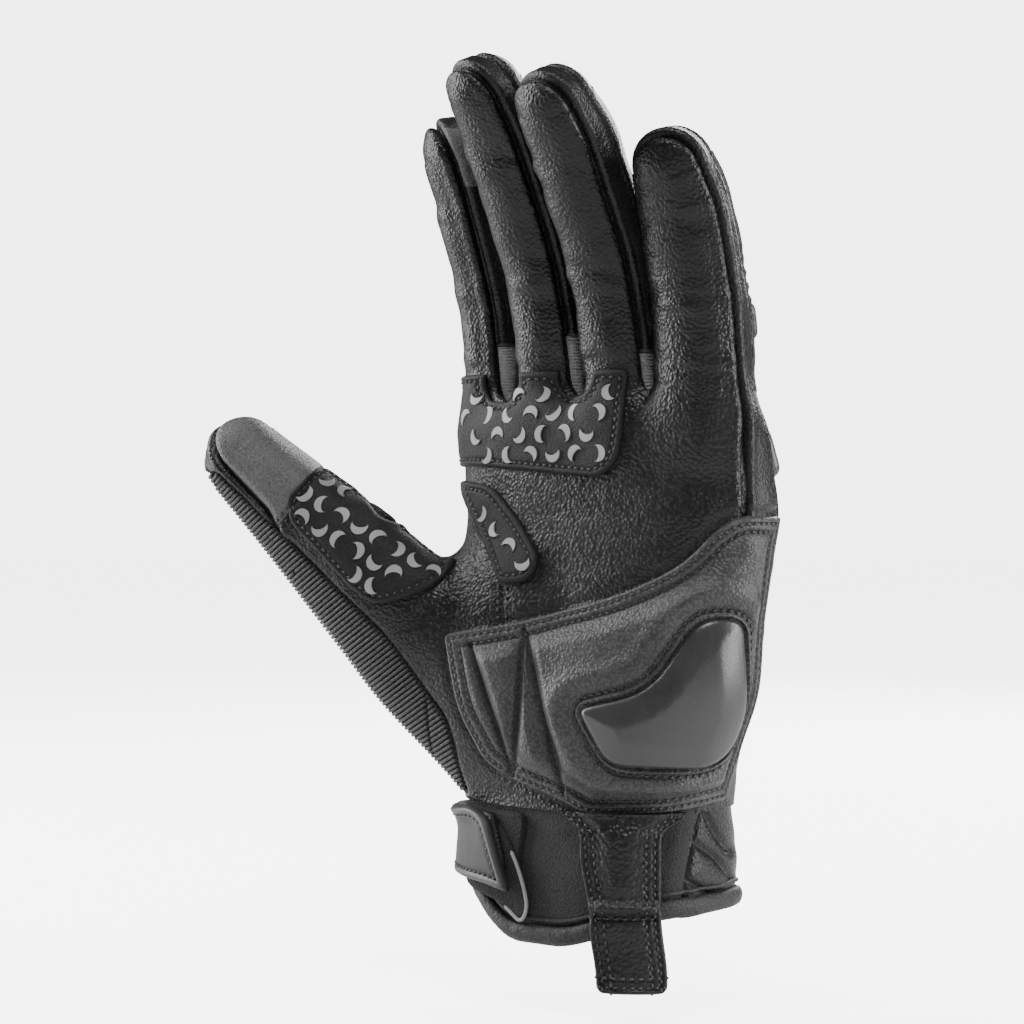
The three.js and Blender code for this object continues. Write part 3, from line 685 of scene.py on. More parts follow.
# ---------------------------------------------------------------- objects
def make_object(name, points, faces, material, corner_normals=None, flat_faces=None):
    data = bpy.data.meshes.new(name)
    data.vertices.add(len(points))
    data.vertices.foreach_set("co", (points * MM).astype(np.float32).ravel())
    data.loops.add(faces.size)
    data.loops.foreach_set("vertex_index", faces.astype(np.int32).ravel())
    data.polygons.add(len(faces))
    data.polygons.foreach_set("loop_start", np.arange(0, faces.size, 3, dtype=np.int32))
    smooth = np.ones(len(faces), bool)
    if flat_faces is not None:
        smooth[flat_faces] = False
    data.polygons.foreach_set("use_smooth", smooth)
    data.update(calc_edges=True)
    if corner_normals is not None:
        data.normals_split_custom_set(corner_normals)
    data.materials.append(material)
    piece = bpy.data.objects.new(name, data)
    bpy.context.scene.collection.objects.link(piece)
    return piece


def closed(mesh, inner):
    """A panel with thickness: outer face, inner face at height `inner`, and the rim between them."""
    count, faces = len(mesh), mesh.faces
    under = mesh["rest"] + mesh["out"] * (inner if np.isscalar(inner) else inner[:, None])
    edges = np.concatenate([faces[:, [0, 1]], faces[:, [1, 2]], faces[:, [2, 0]]])
    forward = edges[:, 0] * count + edges[:, 1]
    alone = edges[~np.isin(forward, edges[:, 1] * count + edges[:, 0])]
    i, j = alone.T
    rim = np.concatenate([np.stack([j, i, i + count], 1), np.stack([j, i + count, j + count], 1)])
    every = np.concatenate([faces, faces[:, ::-1] + count, rim])
    corner_normals = np.zeros((every.size, 3), np.float32)
    corner_normals[: faces.size] = mesh["normal"][faces.ravel()]
    flat = np.arange(len(every) - len(rim), len(every))
    return np.concatenate([mesh["place"], under]), every, corner_normals, flat


def arc_length(points):
    return np.concatenate([[0], np.cumsum(np.linalg.norm(np.diff(points, axis=0), axis=1))])


def at_arc(values, arc, at):
    return np.stack([np.interp(at, arc, column) for column in values.T], -1)


def resample(points, normals, spacing):
    """The same line with evenly spaced points, a little smoothed."""
    arc = arc_length(points)
    at = np.linspace(0, arc[-1], max(3, int(round(arc[-1] / spacing)) + 1))
    points, normals = at_arc(points, arc, at), at_arc(normals, arc, at)
    for _ in range(2):
        points[1:-1] = 0.25 * points[:-2] + 0.5 * points[1:-1] + 0.25 * points[2:]
    return points, unit(normals)


def rings(centre, normal, tangent, radius, sides, flatten=1.0):
    """Vertex rings (..., sides, 3) round points with the given radius."""
    side = unit(np.cross(tangent, normal))
    angle = np.arange(sides) * 2 * math.pi / sides
    across, up = side[..., None, :] * np.cos(angle)[:, None], normal[..., None, :] * np.sin(angle)[:, None]
    out = across + flatten * up
    return centre[..., None, :] + out * radius[..., None, None]


def ring_faces(rows, sides):
    """Triangles that join `rows` rings into a closed body."""
    faces = []
    for r in range(rows - 1):
        for i in range(sides):
            a, b = r * sides + i, r * sides + (i + 1) % sides
            faces += [(a, a + sides, b), (b, a + sides, b + sides)]
    last = (rows - 1) * sides
    for i in range(1, sides - 1):
        faces += [(0, i, i + 1), (last, last + i + 1, last + i)]
    return np.array(faces)


def kept(lines, wanted):
    """The stretches of traced lines whose points satisfy `wanted`."""
    out = []
    for points, normals in lines:
        keep = wanted(points)
        if not keep.any():
            continue
        if not keep.all() and np.allclose(points[0], points[-1]):
            start = int(np.flatnonzero(keep & ~np.roll(keep, 1))[0])
            points, normals, keep = (np.roll(values, -start, axis=0) for values in (points, normals, keep))
        changes = np.flatnonzero(np.diff(keep.astype(int))) + 1
        for stretch in np.split(np.arange(len(points)), changes):
            if keep[stretch[0]] and len(stretch) > 4:
                out.append((points[stretch], normals[stretch]))
    return out


STITCH_LENGTH, STITCH_GAP, STITCH_RADIUS = 1.35, 0.6, 0.36


class Bits:
    """Many small closed bodies that become one object."""

    def __init__(self):
        self.points, self.faces, self.count = [], [], 0

    def add(self, points, faces):
        self.points.append(points)
        self.faces.append(faces + self.count)
        self.count += len(points)

    def stitches(self, lines):
        """A row of thread stitches along each line."""
        template = ring_faces(5, 6)
        lift = np.array([-0.9, 0.35, 0.6, 0.35, -0.9]) * STITCH_RADIUS
        thickness = np.array([0.45, 0.95, 1.0, 0.95, 0.45]) * STITCH_RADIUS
        for points, normals in lines:
            points, normals = resample(points, normals, 0.6)
            arc = arc_length(points)
            number = int(arc[-1] / (STITCH_LENGTH + STITCH_GAP))
            if number < 1:
                continue
            middle = (np.arange(number) + 0.5) * arc[-1] / number
            at = middle[:, None] + np.linspace(-0.5, 0.5, 5) * STITCH_LENGTH
            centre, normal = at_arc(points, arc, at), at_arc(normals, arc, at)
            tangent = unit(np.gradient(centre, axis=1))
            size = np.broadcast_to(thickness, at.shape)
            body = rings(centre + normal * lift[:, None], unit(normal), tangent, size, 6)
            for one in body:
                self.add(one.reshape(-1, 3), template)
        return self

    def cords(self, lines, radius, lift=0.0, sides=8, spacing=0.7, flatten=1.0, taper=True):
        """A round cord along each line, with tapered ends."""
        for points, normals in lines:
            points, normals = resample(points, normals, spacing)
            tangent = unit(np.gradient(points, axis=0))
            size = np.full(len(points), radius)
            if taper:
                size[[0, -1]] *= 0.35
            body = rings(points + normals * lift, normals, tangent, size, sides, flatten)
            self.add(body.reshape(-1, 3), ring_faces(len(points), sides))
        return self

    def place(self, name, material, flat=False, **where):
        """Makes one object of all the bodies, if there are any, on the cell or body in `where`."""
        if self.count:
            faces = np.concatenate(self.faces)
            flat_faces = np.arange(len(faces)) if flat else None
            made = make_object(name, np.concatenate(self.points), faces, material, None, flat_faces)
            place_piece(made, **where)


FOLD_AXIS = np.array([math.sin(KNUCKLE_TILT), 0, math.cos(KNUCKLE_TILT)])
BLENDS = {
    "hand": ("hand", "knuckles", KNUCKLE_POINT - 13.5 * FOLD_AXIS, KNUCKLE_POINT + 13.5 * FOLD_AXIS),
    "thumb_base": ("hand", "thumb_base", THUMB_START * THUMB_SIDE, 61 * THUMB_SIDE),
    "thumb_tip": ("thumb_base", "thumb_tip", THUMB_JOINT - 9 * THUMB_AXIS, THUMB_JOINT + 9 * THUMB_AXIS),
}
for finger in FINGER_NAMES:
    for index, (part, before, low, high) in enumerate([
        ("base", "knuckles", 7, 8), ("middle", f"{finger}_base", 9, 9), ("tip", f"{finger}_middle", 8, 8),
    ]):
        centre, along = tubes[finger].joint(index + 1)
        body = f"{finger}_{part}"
        BLENDS[body] = (before, body, centre - low * along, centre + high * along)


def stitch(name, lines, **where):
    """Thread stitches along the lines, as one object on the cell or body in `where`."""
    Bits().stitches(lines).place(name, THREAD, **where)


def bend(piece, cell):
    """Looks up the joint that the piece's cell of the glove crosses, and bakes the piece's transform."""
    first, second, start, end = BLENDS[cell]
    tuple(start * MM)
    tuple(end * MM)
    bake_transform(piece)


def hand_cells(mesh):
    """The hand's mesh cut where one joint's stretch of leather hands over to the next."""
    points = mesh["rest"]
    below_web = mesh.cut(WEB_HEIGHT - points[:, 2])
    parts = {"hand": below_web.cut(THUMB_START - below_web["rest"] @ THUMB_SIDE)}
    outer = mesh.cut(points @ THUMB_SIDE - THUMB_START)
    outer = outer.cut(THUMB_TOP - outer["rest"][:, 2])
    along = (outer["rest"] - THUMB_JOINT) @ THUMB_AXIS + THUMB_TIP_CUT
    parts["thumb_base"] = outer.cut(-along)
    parts["thumb_tip"] = outer.cut(along)
    return {cell: part for cell, part in parts.items() if len(part.faces)}


def finger_cells(name, mesh):
    joints = [tubes[name].joint(i)[0] for i in (1, 2, 3)]
    levels = []
    for i, reach in enumerate(FINGER_CUTS[name]):
        direction = unit(joints[i + 1] - joints[i])
        levels.append((joints[i] + reach * direction, direction))
    (c1, d1), (c2, d2) = levels
    base = mesh.cut(-((mesh["rest"] - c1) @ d1))
    rest = mesh.cut((mesh["rest"] - c1) @ d1)
    parts = {
        f"{name}_base": base,
        f"{name}_middle": rest.cut(-((rest["rest"] - c2) @ d2)),
        f"{name}_tip": rest.cut((rest["rest"] - c2) @ d2),
    }
    return {cell: part for cell, part in parts.items() if len(part.faces)}


def sew(name, mesh, material, cell=None, body=None, inner=-SKIN, replaces=(), fill=None):
    """Makes one sewn panel of a mesh and puts it on its body, when it is given one."""
    points, faces, corner_normals, flat = closed(mesh, inner)
    piece = make_object(name, points, faces, material, corner_normals, flat)
    place_piece(piece, cell, body, replaces, fill)


def place_piece(piece, cell=None, body=None, replaces=(), fill=None):
    if cell is not None:
        bend(piece, cell)
    else:
        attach(piece, body)
    if replaces:
        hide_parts(*replaces)


# ---------------------------------------------------------------- materials
class Look:
    """A material and short ways to add nodes to it."""

    def __init__(self, name, slot):
        self.material = bpy.data.materials.new(name)
        self.material["slot"] = slot
        self.material.use_nodes = True
        self.nodes = self.material.node_tree.nodes
        self.links = self.material.node_tree.links
        self.shader = self.nodes["Principled BSDF"]
        self.where = self.nodes.new("ShaderNodeTexCoord").outputs["Object"]

    def add(self, kind, **settings):
        node = self.nodes.new(kind)
        for key, value in settings.items():
            if key.startswith("in_"):
                node.inputs[key[3:].replace("_", " ")].default_value = value
            else:
                setattr(node, key, value)
        return node

    def noise(self, scale, detail=3.0, where=None):
        node = self.add("ShaderNodeTexNoise", in_Scale=scale, in_Detail=detail)
        self.links.new(where or self.where, node.inputs["Vector"])
        return node.outputs["Fac"]

    def cells(self, scale, where, feature="F1", smooth=None):
        node = self.add("ShaderNodeTexVoronoi", feature=feature, in_Scale=scale)
        if smooth is not None:
            node.inputs["Smoothness"].default_value = smooth
        self.links.new(where, node.inputs["Vector"])
        return node.outputs["Distance"]

    def wobble(self, scale, amount):
        """Coordinates shifted by a noise."""
        node = self.add("ShaderNodeTexNoise", in_Scale=scale, in_Detail=2.0)
        self.links.new(self.where, node.inputs["Vector"])
        move = self.add("ShaderNodeVectorMath", operation="MULTIPLY_ADD")
        self.links.new(node.outputs["Color"], move.inputs[0])
        move.inputs[1].default_value = (amount,) * 3
        self.links.new(self.where, move.inputs[2])
        return move.outputs[0]

    def stretch(self, scale, where=None):
        node = self.add("ShaderNodeMapping")
        node.inputs["Scale"].default_value = scale
        self.links.new(where or self.where, node.inputs["Vector"])
        return node.outputs[0]

    def remap(self, value, low, high, to_low, to_high):
        node = self.add(
            "ShaderNodeMapRange", in_From_Min=low, in_From_Max=high, in_To_Min=to_low, in_To_Max=to_high)
        self.links.new(value, node.inputs["Value"])
        return node.outputs[0]

    def math(self, operation, a, b):
        node = self.add("ShaderNodeMath", operation=operation)
        for socket, value in zip(node.inputs, (a, b)):
            if isinstance(value, (int, float)):
                socket.default_value = value
            else:
                self.links.new(value, socket)
        return node.outputs[0]

    def colour(self, factor, dark, light):
        node = self.add("ShaderNodeMix", data_type="RGBA")
        self.links.new(factor, node.inputs["Factor"])
        node.inputs["A"].default_value = (*dark, 1)
        node.inputs["B"].default_value = (*light, 1)
        self.links.new(node.outputs["Result"], self.shader.inputs["Base Color"])
        return self

    def rough(self, factor, low, high, to_low=0.0, to_high=1.0):
        self.links.new(self.remap(factor, to_low, to_high, low, high), self.shader.inputs["Roughness"])
        return self

    def bump(self, height, distance, strength=1.0):
        node = self.add("ShaderNodeBump", in_Strength=strength, in_Distance=distance)
        self.links.new(height, node.inputs["Height"])
        previous = self.shader.inputs["Normal"]
        if previous.is_linked:
            self.links.new(previous.links[0].from_socket, node.inputs["Normal"])
        self.links.new(node.outputs["Normal"], previous)
        return self

    def set(self, **values):
        for key, value in values.items():
            self.shader.inputs[key.replace("_", " ")].default_value = value
        return self


def grey(value):
    return value, value, 1.03 * value


def leather_look(name, slot, grain, dark, light, rough, depth, creases=0.0, fingers=1.0):
    """Pebbled leather with grain cells of a size in millimetres, with painted shade that makes it `fingers`
    times as light on the fingers.
    """
    look = Look(name, slot)
    moved = look.wobble(260, 0.0011)
    pebble = look.cells(1000 / grain, moved, "SMOOTH_F1", 0.35)
    fine = look.noise(2600 / grain, 3.0)
    patchy = look.noise(55, 4.0)
    height = look.math("MULTIPLY_ADD", fine, 0.25)
    look.links.new(look.remap(pebble, 0.05, 0.75, 1.0, 0.0), height.node.inputs[2])
    if creases:
        folds = look.noise(1.0, 2.0, look.stretch((140, 140, 620), look.wobble(90, 0.004)))
        look.bump(folds, creases * MM, 0.8)
    look.bump(height, depth * MM)
    pores, patches = look.remap(pebble, 0.1, 0.8, 1.0, 0.25), look.remap(patchy, 0.3, 0.7, 0.55, 1.0)
    tone = look.math("MULTIPLY", pores, patches)
    # Painted shade: the colour darkens with height until it is `fingers` times as light on the fingers.
    if fingers < 1:
        height_above = look.add("ShaderNodeSeparateXYZ")
        look.links.new(look.where, height_above.inputs[0])
        painted_finger_shade = look.remap(height_above.outputs["Z"], 0.120, 0.165, 1.0, fingers)
        tone = look.math("MULTIPLY", tone, painted_finger_shade)
    look.colour(tone, dark, light)
    dull = look.math("ADD", patchy, look.math("MULTIPLY", pebble, 0.4))
    look.rough(dull, rough - 0.08, rough + 0.12, 0.3, 0.9)
    return look.set(Specular_IOR_Level=0.26).material


def woven_look(name, slot, dark, light, rough, pitch):
    """Knitted or woven cloth with a fine two-way weave."""
    look = Look(name, slot)
    threads = look.cells(1000 / pitch, look.wobble(400, 0.0003))
    fuzz = look.noise(2400, 3.0)
    patchy = look.noise(90, 3.0)
    height = look.math("ADD", look.remap(threads, 0, 0.7, 1, 0), look.math("MULTIPLY", fuzz, 0.5))
    look.bump(height, 0.22 * MM)
    tone = look.math("MULTIPLY", look.remap(threads, 0, 0.8, 1, 0.1), look.remap(patchy, 0.3, 0.7, 0.6, 1))
    look.colour(tone, dark, light)
    look.rough(fuzz, rough - 0.1, rough + 0.1)
    return look.material


def moulded_look(name, slot, dark, light, rough):
    """Moulded plastic or rubber with faint mottling and scuffs."""
    look = Look(name, slot)
    mottled = look.noise(60, 5.0)
    scuffs = look.noise(1.0, 3.0, look.stretch((500, 500, 90)))
    look.colour(mottled, dark, light)
    worn = look.math("ADD", mottled, look.math("MULTIPLY", scuffs, 0.5))
    look.rough(worn, rough - 0.06, rough + 0.14, 0.4, 1.1)
    look.bump(look.noise(1800, 2.0), 0.04 * MM)
    return look.material


# The palm leather carries painted shade that darkens its colour on the fingers.
PALM_LEATHER = leather_look(
    "PalmLeather", "palm_leather", 0.85, grey(0.002), grey(0.018), 0.34, 0.18, 0.12, fingers=0.08)
TIP_LEATHER = leather_look("TipLeather", "palm_leather", 0.55, grey(0.045), grey(0.125), 0.45, 0.14)
BACK_LEATHER = leather_look("BackLeather", "back_leather", 0.7, grey(0.002), grey(0.011), 0.37, 0.12)
HEEL_LEATHER = leather_look("HeelLeather", "back_leather", 0.75, grey(0.015), grey(0.068), 0.4, 0.13, 0.06)
PULL_LEATHER = leather_look("PullLeather", "back_leather", 1.0, grey(0.003), grey(0.013), 0.34, 0.20, 0.22)
GRIP = leather_look("GripPatch", "grip", 0.5, grey(0.003), grey(0.013), 0.6, 0.10)
PRINT = moulded_look("GripPrint", "grip", grey(0.16), grey(0.28), 0.5)
SLIDER = moulded_look("SliderPlastic", "slider", grey(0.018), grey(0.028), 0.34)
RUBBER = moulded_look("MouldedRubber", "rubber", grey(0.006), grey(0.012), 0.45)
TAB_RUBBER = moulded_look("TabRubber", "rubber", grey(0.003), grey(0.007), 0.55)
RIM_RUBBER = moulded_look("RimRubber", "rubber", grey(0.02), grey(0.035), 0.42)
PALE_RUBBER = moulded_look("PaleRubber", "rubber", grey(0.14), grey(0.2), 0.5)
NEOPRENE = woven_look("Neoprene", "neoprene", grey(0.003), grey(0.018), 0.85, 0.5)
STRETCH = woven_look("StretchCloth", "stretch", grey(0.004), grey(0.022), 0.6, 0.4)
GUSSET = woven_look("GussetCloth", "gusset", grey(0.16), grey(0.34), 0.7, 0.4)
TOUCH = woven_look("TouchCloth", "gusset", grey(0.03), grey(0.10), 0.6, 0.5)
FUZZY = woven_look("HookAndLoop", "hook_and_loop", grey(0.002), grey(0.008), 0.95, 0.6)
LINING = woven_look("Lining", "lining", grey(0.006), grey(0.02), 0.9, 0.8)
BINDING = leather_look("Binding", "binding", 0.6, grey(0.008), grey(0.03), 0.5, 0.10)
THREAD = moulded_look("Thread", "palm_leather", grey(0.008), grey(0.028), 0.42)


# ---------------------------------------------------------------- hand, thumb and cuff
def edge_round(depth, low, high, reach):
    """Height of a rounded edge: `low` at the outline, `high` from `reach` inside it."""
    t = np.clip(depth / reach, 0, 1)
    return low + (high - low) * np.sqrt(1 - (1 - t) ** 2)


DROP_START, DROP_STEPS, DROP_SHARE = 75.0, 60, 0.55


def drop(field, u, z):
    """Points where lines square on to the heel first meet the field's surface, from DROP_START in front."""
    origin = np.outer(u, FACE_RIGHT) + np.outer(z, (0, 0, 1))
    reach = np.full(len(u), DROP_START)
    for _ in range(DROP_STEPS):
        reach -= DROP_SHARE * field(origin + reach[:, None] * FACE_OUT)
    return origin + reach[:, None] * FACE_OUT


def sew_cells(mesh, names, material):
    """Sews the part of a mesh in each cell as its own panel. `names` has (name, replaced nodes) by cell."""
    parts = {cell: part for cell, part in hand_cells(mesh).items() if cell in names}
    for cell, part in parts.items():
        name, replaced = names[cell]
        sew(name, part, material, cell=cell, replaces=replaced)
    return parts


hand = with_layers(surface(hand_distance, (-105, -60, -7), (60, 40, 142)))
fold_zone = bell((hand["rest"] - KNUCKLE_POINT) @ FOLD_AXIS + 4, 9) * smoothstep(0, 4, -hand["front"])
fold_zone *= smoothstep(-36, -26, hand["rest"][:, 0]) * smoothstep(44, 34, hand["rest"][:, 0])
folds = np.cos((hand["rest"] @ FOLD_AXIS) * 2 * math.pi / 4.2)
hand = raised(hand, hand["height"] + 0.75 * fold_zone * folds)

LEATHER_LOW = 32.5  # the sewn leather ends at this height, over the cuff
CUFF_HIGH = 35
LINING_HIGH, LINING_REACH = 84, 30  # the lining's top, and how far it goes into the thumb
skin = hand.cut(hand["rest"][:, 2] - LEATHER_LOW)
plain = skin.cut(-skin["ribs"])
palm_side = plain.cut(plain["front"])
sew_cells(palm_side, {
    "hand": ("palm_leather", ("palm_leather", "knuckle_palm_leather")),
    "thumb_base": ("thumb_base_front", ("thumb_base_front",)),
}, PALM_LEATHER)
seam_start, seam_end = np.array(THUMB_SEAM)
seam_along = unit(seam_end - seam_start)


def past_thumb_seam(mesh):
    """Distance past the seam across the thumb's palm side, towards the tip."""
    u, z = mesh.u() - seam_start[0], mesh["rest"][:, 2] - seam_start[1]
    return u * seam_along[1] - z * seam_along[0]


def on_thumb_front(points):
    near = np.hypot(points @ FACE_RIGHT - seam_start[0], points[:, 2] - seam_start[1]) < 20
    return near & (points @ FACE_OUT > -15) & (points @ THUMB_SIDE > 45)


def on_crotch_seam(points):
    u, low, high = CROTCH_SEAM
    return (points[:, 2] > low) & (points[:, 2] < high) & (points @ FACE_OUT > 10)


sew_cells(palm_side.cut(past_thumb_seam(palm_side)), {
    "thumb_tip": ("thumb_tip_front", ("thumb_tip_front",)),
}, TIP_LEATHER)
sew_cells(palm_side.cut(-past_thumb_seam(palm_side)), {"thumb_tip": ("thumb_tip_root", ())}, PALM_LEATHER)
sew_cells(plain.cut(-plain["front"]), {
    "hand": ("back_leather", ("back_leather", "knuckle_back_leather")),
    "thumb_base": ("thumb_base_back", ("thumb_base_back",)),
    "thumb_tip": ("thumb_tip_back", ("thumb_tip_back",)),
}, BACK_LEATHER)

for name, cell, level, shifts, wanted in (
    ("thumb_seam_stitches", "thumb_tip", past_thumb_seam(hand), (-0.95, 0.95), on_thumb_front),
    ("crotch_seam_stitches", "hand", hand.u() - CROTCH_SEAM[0], (-1.0, 1.0), on_crotch_seam),
    ("back_seam_stitches", "hand", back_seam_distance(hand), (1.5,),
     lambda points: (points[:, 2] > 36) & (points[:, 2] < 107)),
):
    stitch(name, [line for shift in shifts for line in kept(hand.trace(level, shift), wanted)], cell=cell)

RIB_PITCH = 1.2
ribbed = skin.cut(skin["ribs"])
ribbed = raised(ribbed, np.full(len(ribbed), -0.7))
rib_parts = sew_cells(ribbed, {
    "hand": ("thumb_stretch_panel", ("thumb_stretch_panel",)),
    "thumb_base": ("thumb_stretch_base", ()),
    "thumb_tip": ("thumb_stretch_tip", ()),
}, STRETCH)
for cell, part in rib_parts.items():
    along = part.u() * 0.62 - part["rest"][:, 2] * 0.785
    bits = Bits()
    for level in np.arange(math.ceil(along.min() / RIB_PITCH), along.max() / RIB_PITCH):
        bits.cords(part.trace(along, level * RIB_PITCH), 0.56, lift=0.35, sides=6, spacing=0.9)
    bits.place(f"stretch_ribs_{cell}", STRETCH, cell=cell)

# Cuff: neoprene with quilted lines, a bound hem and a piping above it.
HEM = 4.6
QUILT_BACK = 16  # the quilted piece reaches back to this y
cuff = hand.cut(CUFF_HIGH - hand["rest"][:, 2])
cuff = cuff.cut(hem_height(cuff["rest"]))


def quilt_distance(mesh):
    return mesh.off_lines(*QUILT) + FAR * (mesh["rest"][:, 1] > QUILT_BACK)


def near_cuff_seam(mesh, reach):
    return (quilt_distance(mesh) < reach) | (np.abs(hem_height(mesh["rest"]) - HEM) < reach)


cuff = refined(cuff, near_cuff_seam, (2.0, 1.0))
hem_level = hem_height(cuff["rest"])
quilted = quilt_distance(cuff)
swell = 0.25 * noise(cuff["rest"], 9, 5) - 0.8 * bell(quilted, 0.8) + 0.55 * bell(quilted - 3.8, 2.4)
cuff = raised(cuff, -0.55 + swell - 0.4 * bell(hem_level - HEM, 1.0))
wall = cuff.cut(hem_height(cuff["rest"]) - HEM)
padded_side = wall.u() - np.interp(wall["rest"][:, 2], (5, 16.7, 23.9, 34), (18.5, 19.3, 20.9, 23.8))
padded_side = np.minimum(padded_side, QUILT_BACK - wall["rest"][:, 1])
plain_wall = wall.cut(-padded_side)
for name, side in (("cuff_front", plain_wall["front"]), ("cuff_back", -plain_wall["front"])):
    sew(name, plain_wall.cut(side), NEOPRENE, body="hand", inner=-2.0, replaces=(name,))
sew("cuff_quilt", wall.cut(padded_side), BACK_LEATHER, body="hand", inner=-2.0, fill=0.5)
band = cuff.cut(HEM - hem_height(cuff["rest"]))
across_band = hem_height(band["rest"]) / HEM * 2 - 1
crown = np.sqrt(np.clip(1 - across_band**2, 0, 1))
band = raised(band, -0.2 + 1.5 * crown + 0.08 * noise(band["rest"], 2.5, 6))
sew("hem_binding", band, BINDING, body="hand", inner=-2.2, replaces=("hem_binding",))
piping = Bits().cords(wall.trace(hem_height(wall["rest"]), HEM + 1.4), 0.55, lift=0.1, taper=False)
piping.place("hem_piping", BINDING, body="hand")
lined = hand.cut(LINING_HIGH - hand["rest"][:, 2])
lined = lined.cut(LINING_REACH - lined["rest"] @ THUMB_SIDE)
lined = lined.cut(hem_height(lined["rest"]) - 1.5)
lined = raised(lined, np.full(len(lined), -2.1))
sew("hand_lining", lined, LINING, body="hand", inner=-2.7, replaces=("hand_lining",))


# ---------------------------------------------------------------- heel: padded overlay and hard slider
HEEL_ROWS = (1.5, 3.5)  # rows of stitches this far inside the overlay's edge
SLIDER_ROW = -2.1  # and this far outside the slider's


def heel_layout(mesh):
    """Distances inside the overlay's edge, inside the slider's edge and from the darts."""
    return heel_depth(mesh["rest"]), mesh.inside(SLIDER_OUTLINE), mesh.off_lines(*DARTS)


def near_heel_seam(mesh, reach):
    depth, ring, dart = heel_layout(mesh)
    near = (depth < 2 * reach) | (np.abs(depth - 3.4) < reach)
    return near | (np.abs(ring + 2.2) < 1.3 * reach) | (dart < 1.4 * reach)


heel = refined(hand.cut(hand["heel"]), near_heel_seam, (1.4, 0.7))
depth, ring, dart = heel_layout(heel)
padding = 2.3 * smoothstep(3.6, 9, depth) * smoothstep(0.2, 3.4, dart)
height = edge_round(depth, 0.5, 1.9, 1.1) + padding
sewn = 0.45 * bell(depth - HEEL_ROWS[0], 0.45) + 0.8 * bell(depth - HEEL_ROWS[1], 0.6)
height -= sewn + 1.5 * bell(dart, 0.55)
height -= 1.1 * bell(ring + 2.0, 0.8) * smoothstep(3, 6, depth)
height += 0.9 * bell(ring + 6.0, 2.4) * smoothstep(4, 8, depth)
low_corner = smoothstep(12, 4, heel.u()) * smoothstep(58, 48, heel["rest"][:, 2])
height -= 0.7 * bell(ring + 10.5, 1.8) * low_corner
height += (0.28 * noise(heel["rest"], 12, 8) + 0.12 * noise(heel["rest"], 5, 9)) * smoothstep(2, 6, depth)
height = np.where(ring > -0.5, np.minimum(height, 3.3), height)
heel = raised(heel, np.maximum(height, 0.35))
sew("heel_overlay", heel, HEEL_LEATHER, cell="hand", inner=-0.6, replaces=("heel_overlay", "heel_foam"),
    fill=0.7)
edge_rows = [line for level in HEEL_ROWS for line in heel.trace(depth, level) if line[0][:, 1].min() < 1]
stitch("heel_stitches", edge_rows + heel.trace(ring, SLIDER_ROW), cell="hand")

slider = hand.cut(np.minimum(hand.inside(SLIDER_OUTLINE), -hand["rest"][:, 1]))
slider = refined(slider, lambda m, reach: m.inside(SLIDER_OUTLINE) < reach, (3.0, 1.6))
depth = slider.inside(SLIDER_OUTLINE)
bevel = 0.26 * np.clip(depth - 1.0, 0, 5.2) - 0.10 * smoothstep(5.6, 7, depth)
top_lobe = smoothstep(60, 72, slider["rest"][:, 2])
slider = raised(slider, edge_round(depth, 3.0, 4.9, 1.3) + bevel * (1 + 0.25 * top_lobe))
sew("heel_slider", slider, SLIDER, body="hand", inner=2.2, replaces=("heel_slider",))


# ---------------------------------------------------------------- grip patches
SLIT_MARGIN = 1.8  # the patch ends this far outside a slit's outline
PATCH_ROW = 1.7  # the row of stitches inside a patch's edge
SLITS = [
    ((-26.8, 152, 1), (-26.8, 136, 2), (-25.6, 134, 1), (-23, 134, 1), (-21.6, 137, 2), (-21.6, 152, 1)),
    ((-8.8, 152, 1), (-8.8, 137, 2), (-7.4, 135, 1), (-5.4, 135, 1), (-4, 138, 2), (-4, 152, 1)),
]


def patch_level(mesh):
    level = front_only(FINGER_PATCH_OUTLINE, mesh["rest"])
    for slit in SLITS:
        level = np.minimum(level, -SLIT_MARGIN - mesh.inside(slit))
    return level


def thumb_patch_level(mesh):
    _, back = thumb.beside(mesh["rest"])
    return np.minimum(front_only(THUMB_PATCH_OUTLINE, mesh["rest"], 8), 2.0 - back)


def make_patch(mesh, level_of, names, cells, limit=None):
    """A stitched grip patch. `limit` is a further level that only cuts it, with no rounded edge."""
    patch = mesh.cut(level_of(mesh))
    if limit is not None:
        patch = patch.cut(limit(patch))
    if not len(patch.faces):
        return
    patch = refined(patch, lambda m, reach: level_of(m) < reach, (2.4, 1.4))
    depth = level_of(patch)
    relief = patch["height"] * 0.6
    height = 0.1 + relief + edge_round(depth, 0.3, 1.25, 0.9) - 0.4 * bell(depth - PATCH_ROW, 0.45)
    patch = raised(patch, height + 0.10 * noise(patch["rest"], 3.5, 12))
    for cell, part in cells(patch).items():
        if cell not in names:
            continue
        name, replaced = names[cell]
        sew(name, part, GRIP, cell=cell, inner=-0.5, replaces=replaced)
        stitch(f"{name}_stitches", part.trace(level_of(part), PATCH_ROW), cell=cell)


make_patch(hand, patch_level, {"hand": ("finger_base_grip_patch", ("finger_base_grip_patch",))}, hand_cells)
make_patch(hand, lambda m: front_only(CROTCH_OUTLINE, m["rest"], -3),
           {"hand": ("thumb_crotch_patch", ("thumb_crotch_patch",))}, hand_cells)
make_patch(hand, thumb_patch_level, {
    "hand": ("thumb_grip_root", ()),
    "thumb_base": ("thumb_grip_patch", ("thumb_grip_patch",)),
    "thumb_tip": ("thumb_grip_end", ()),
}, hand_cells)


# ---------------------------------------------------------------- fingers
TOUCH_LOW, TOUCH_HIGH = 187, 201  # heights of the touch-screen panel beside the index fingertip
GUSSET_RIB_PITCH, GUSSET_RIBS = 0.8, 18
ARMOUR_HALF = 7.4  # half the width of a raised pad

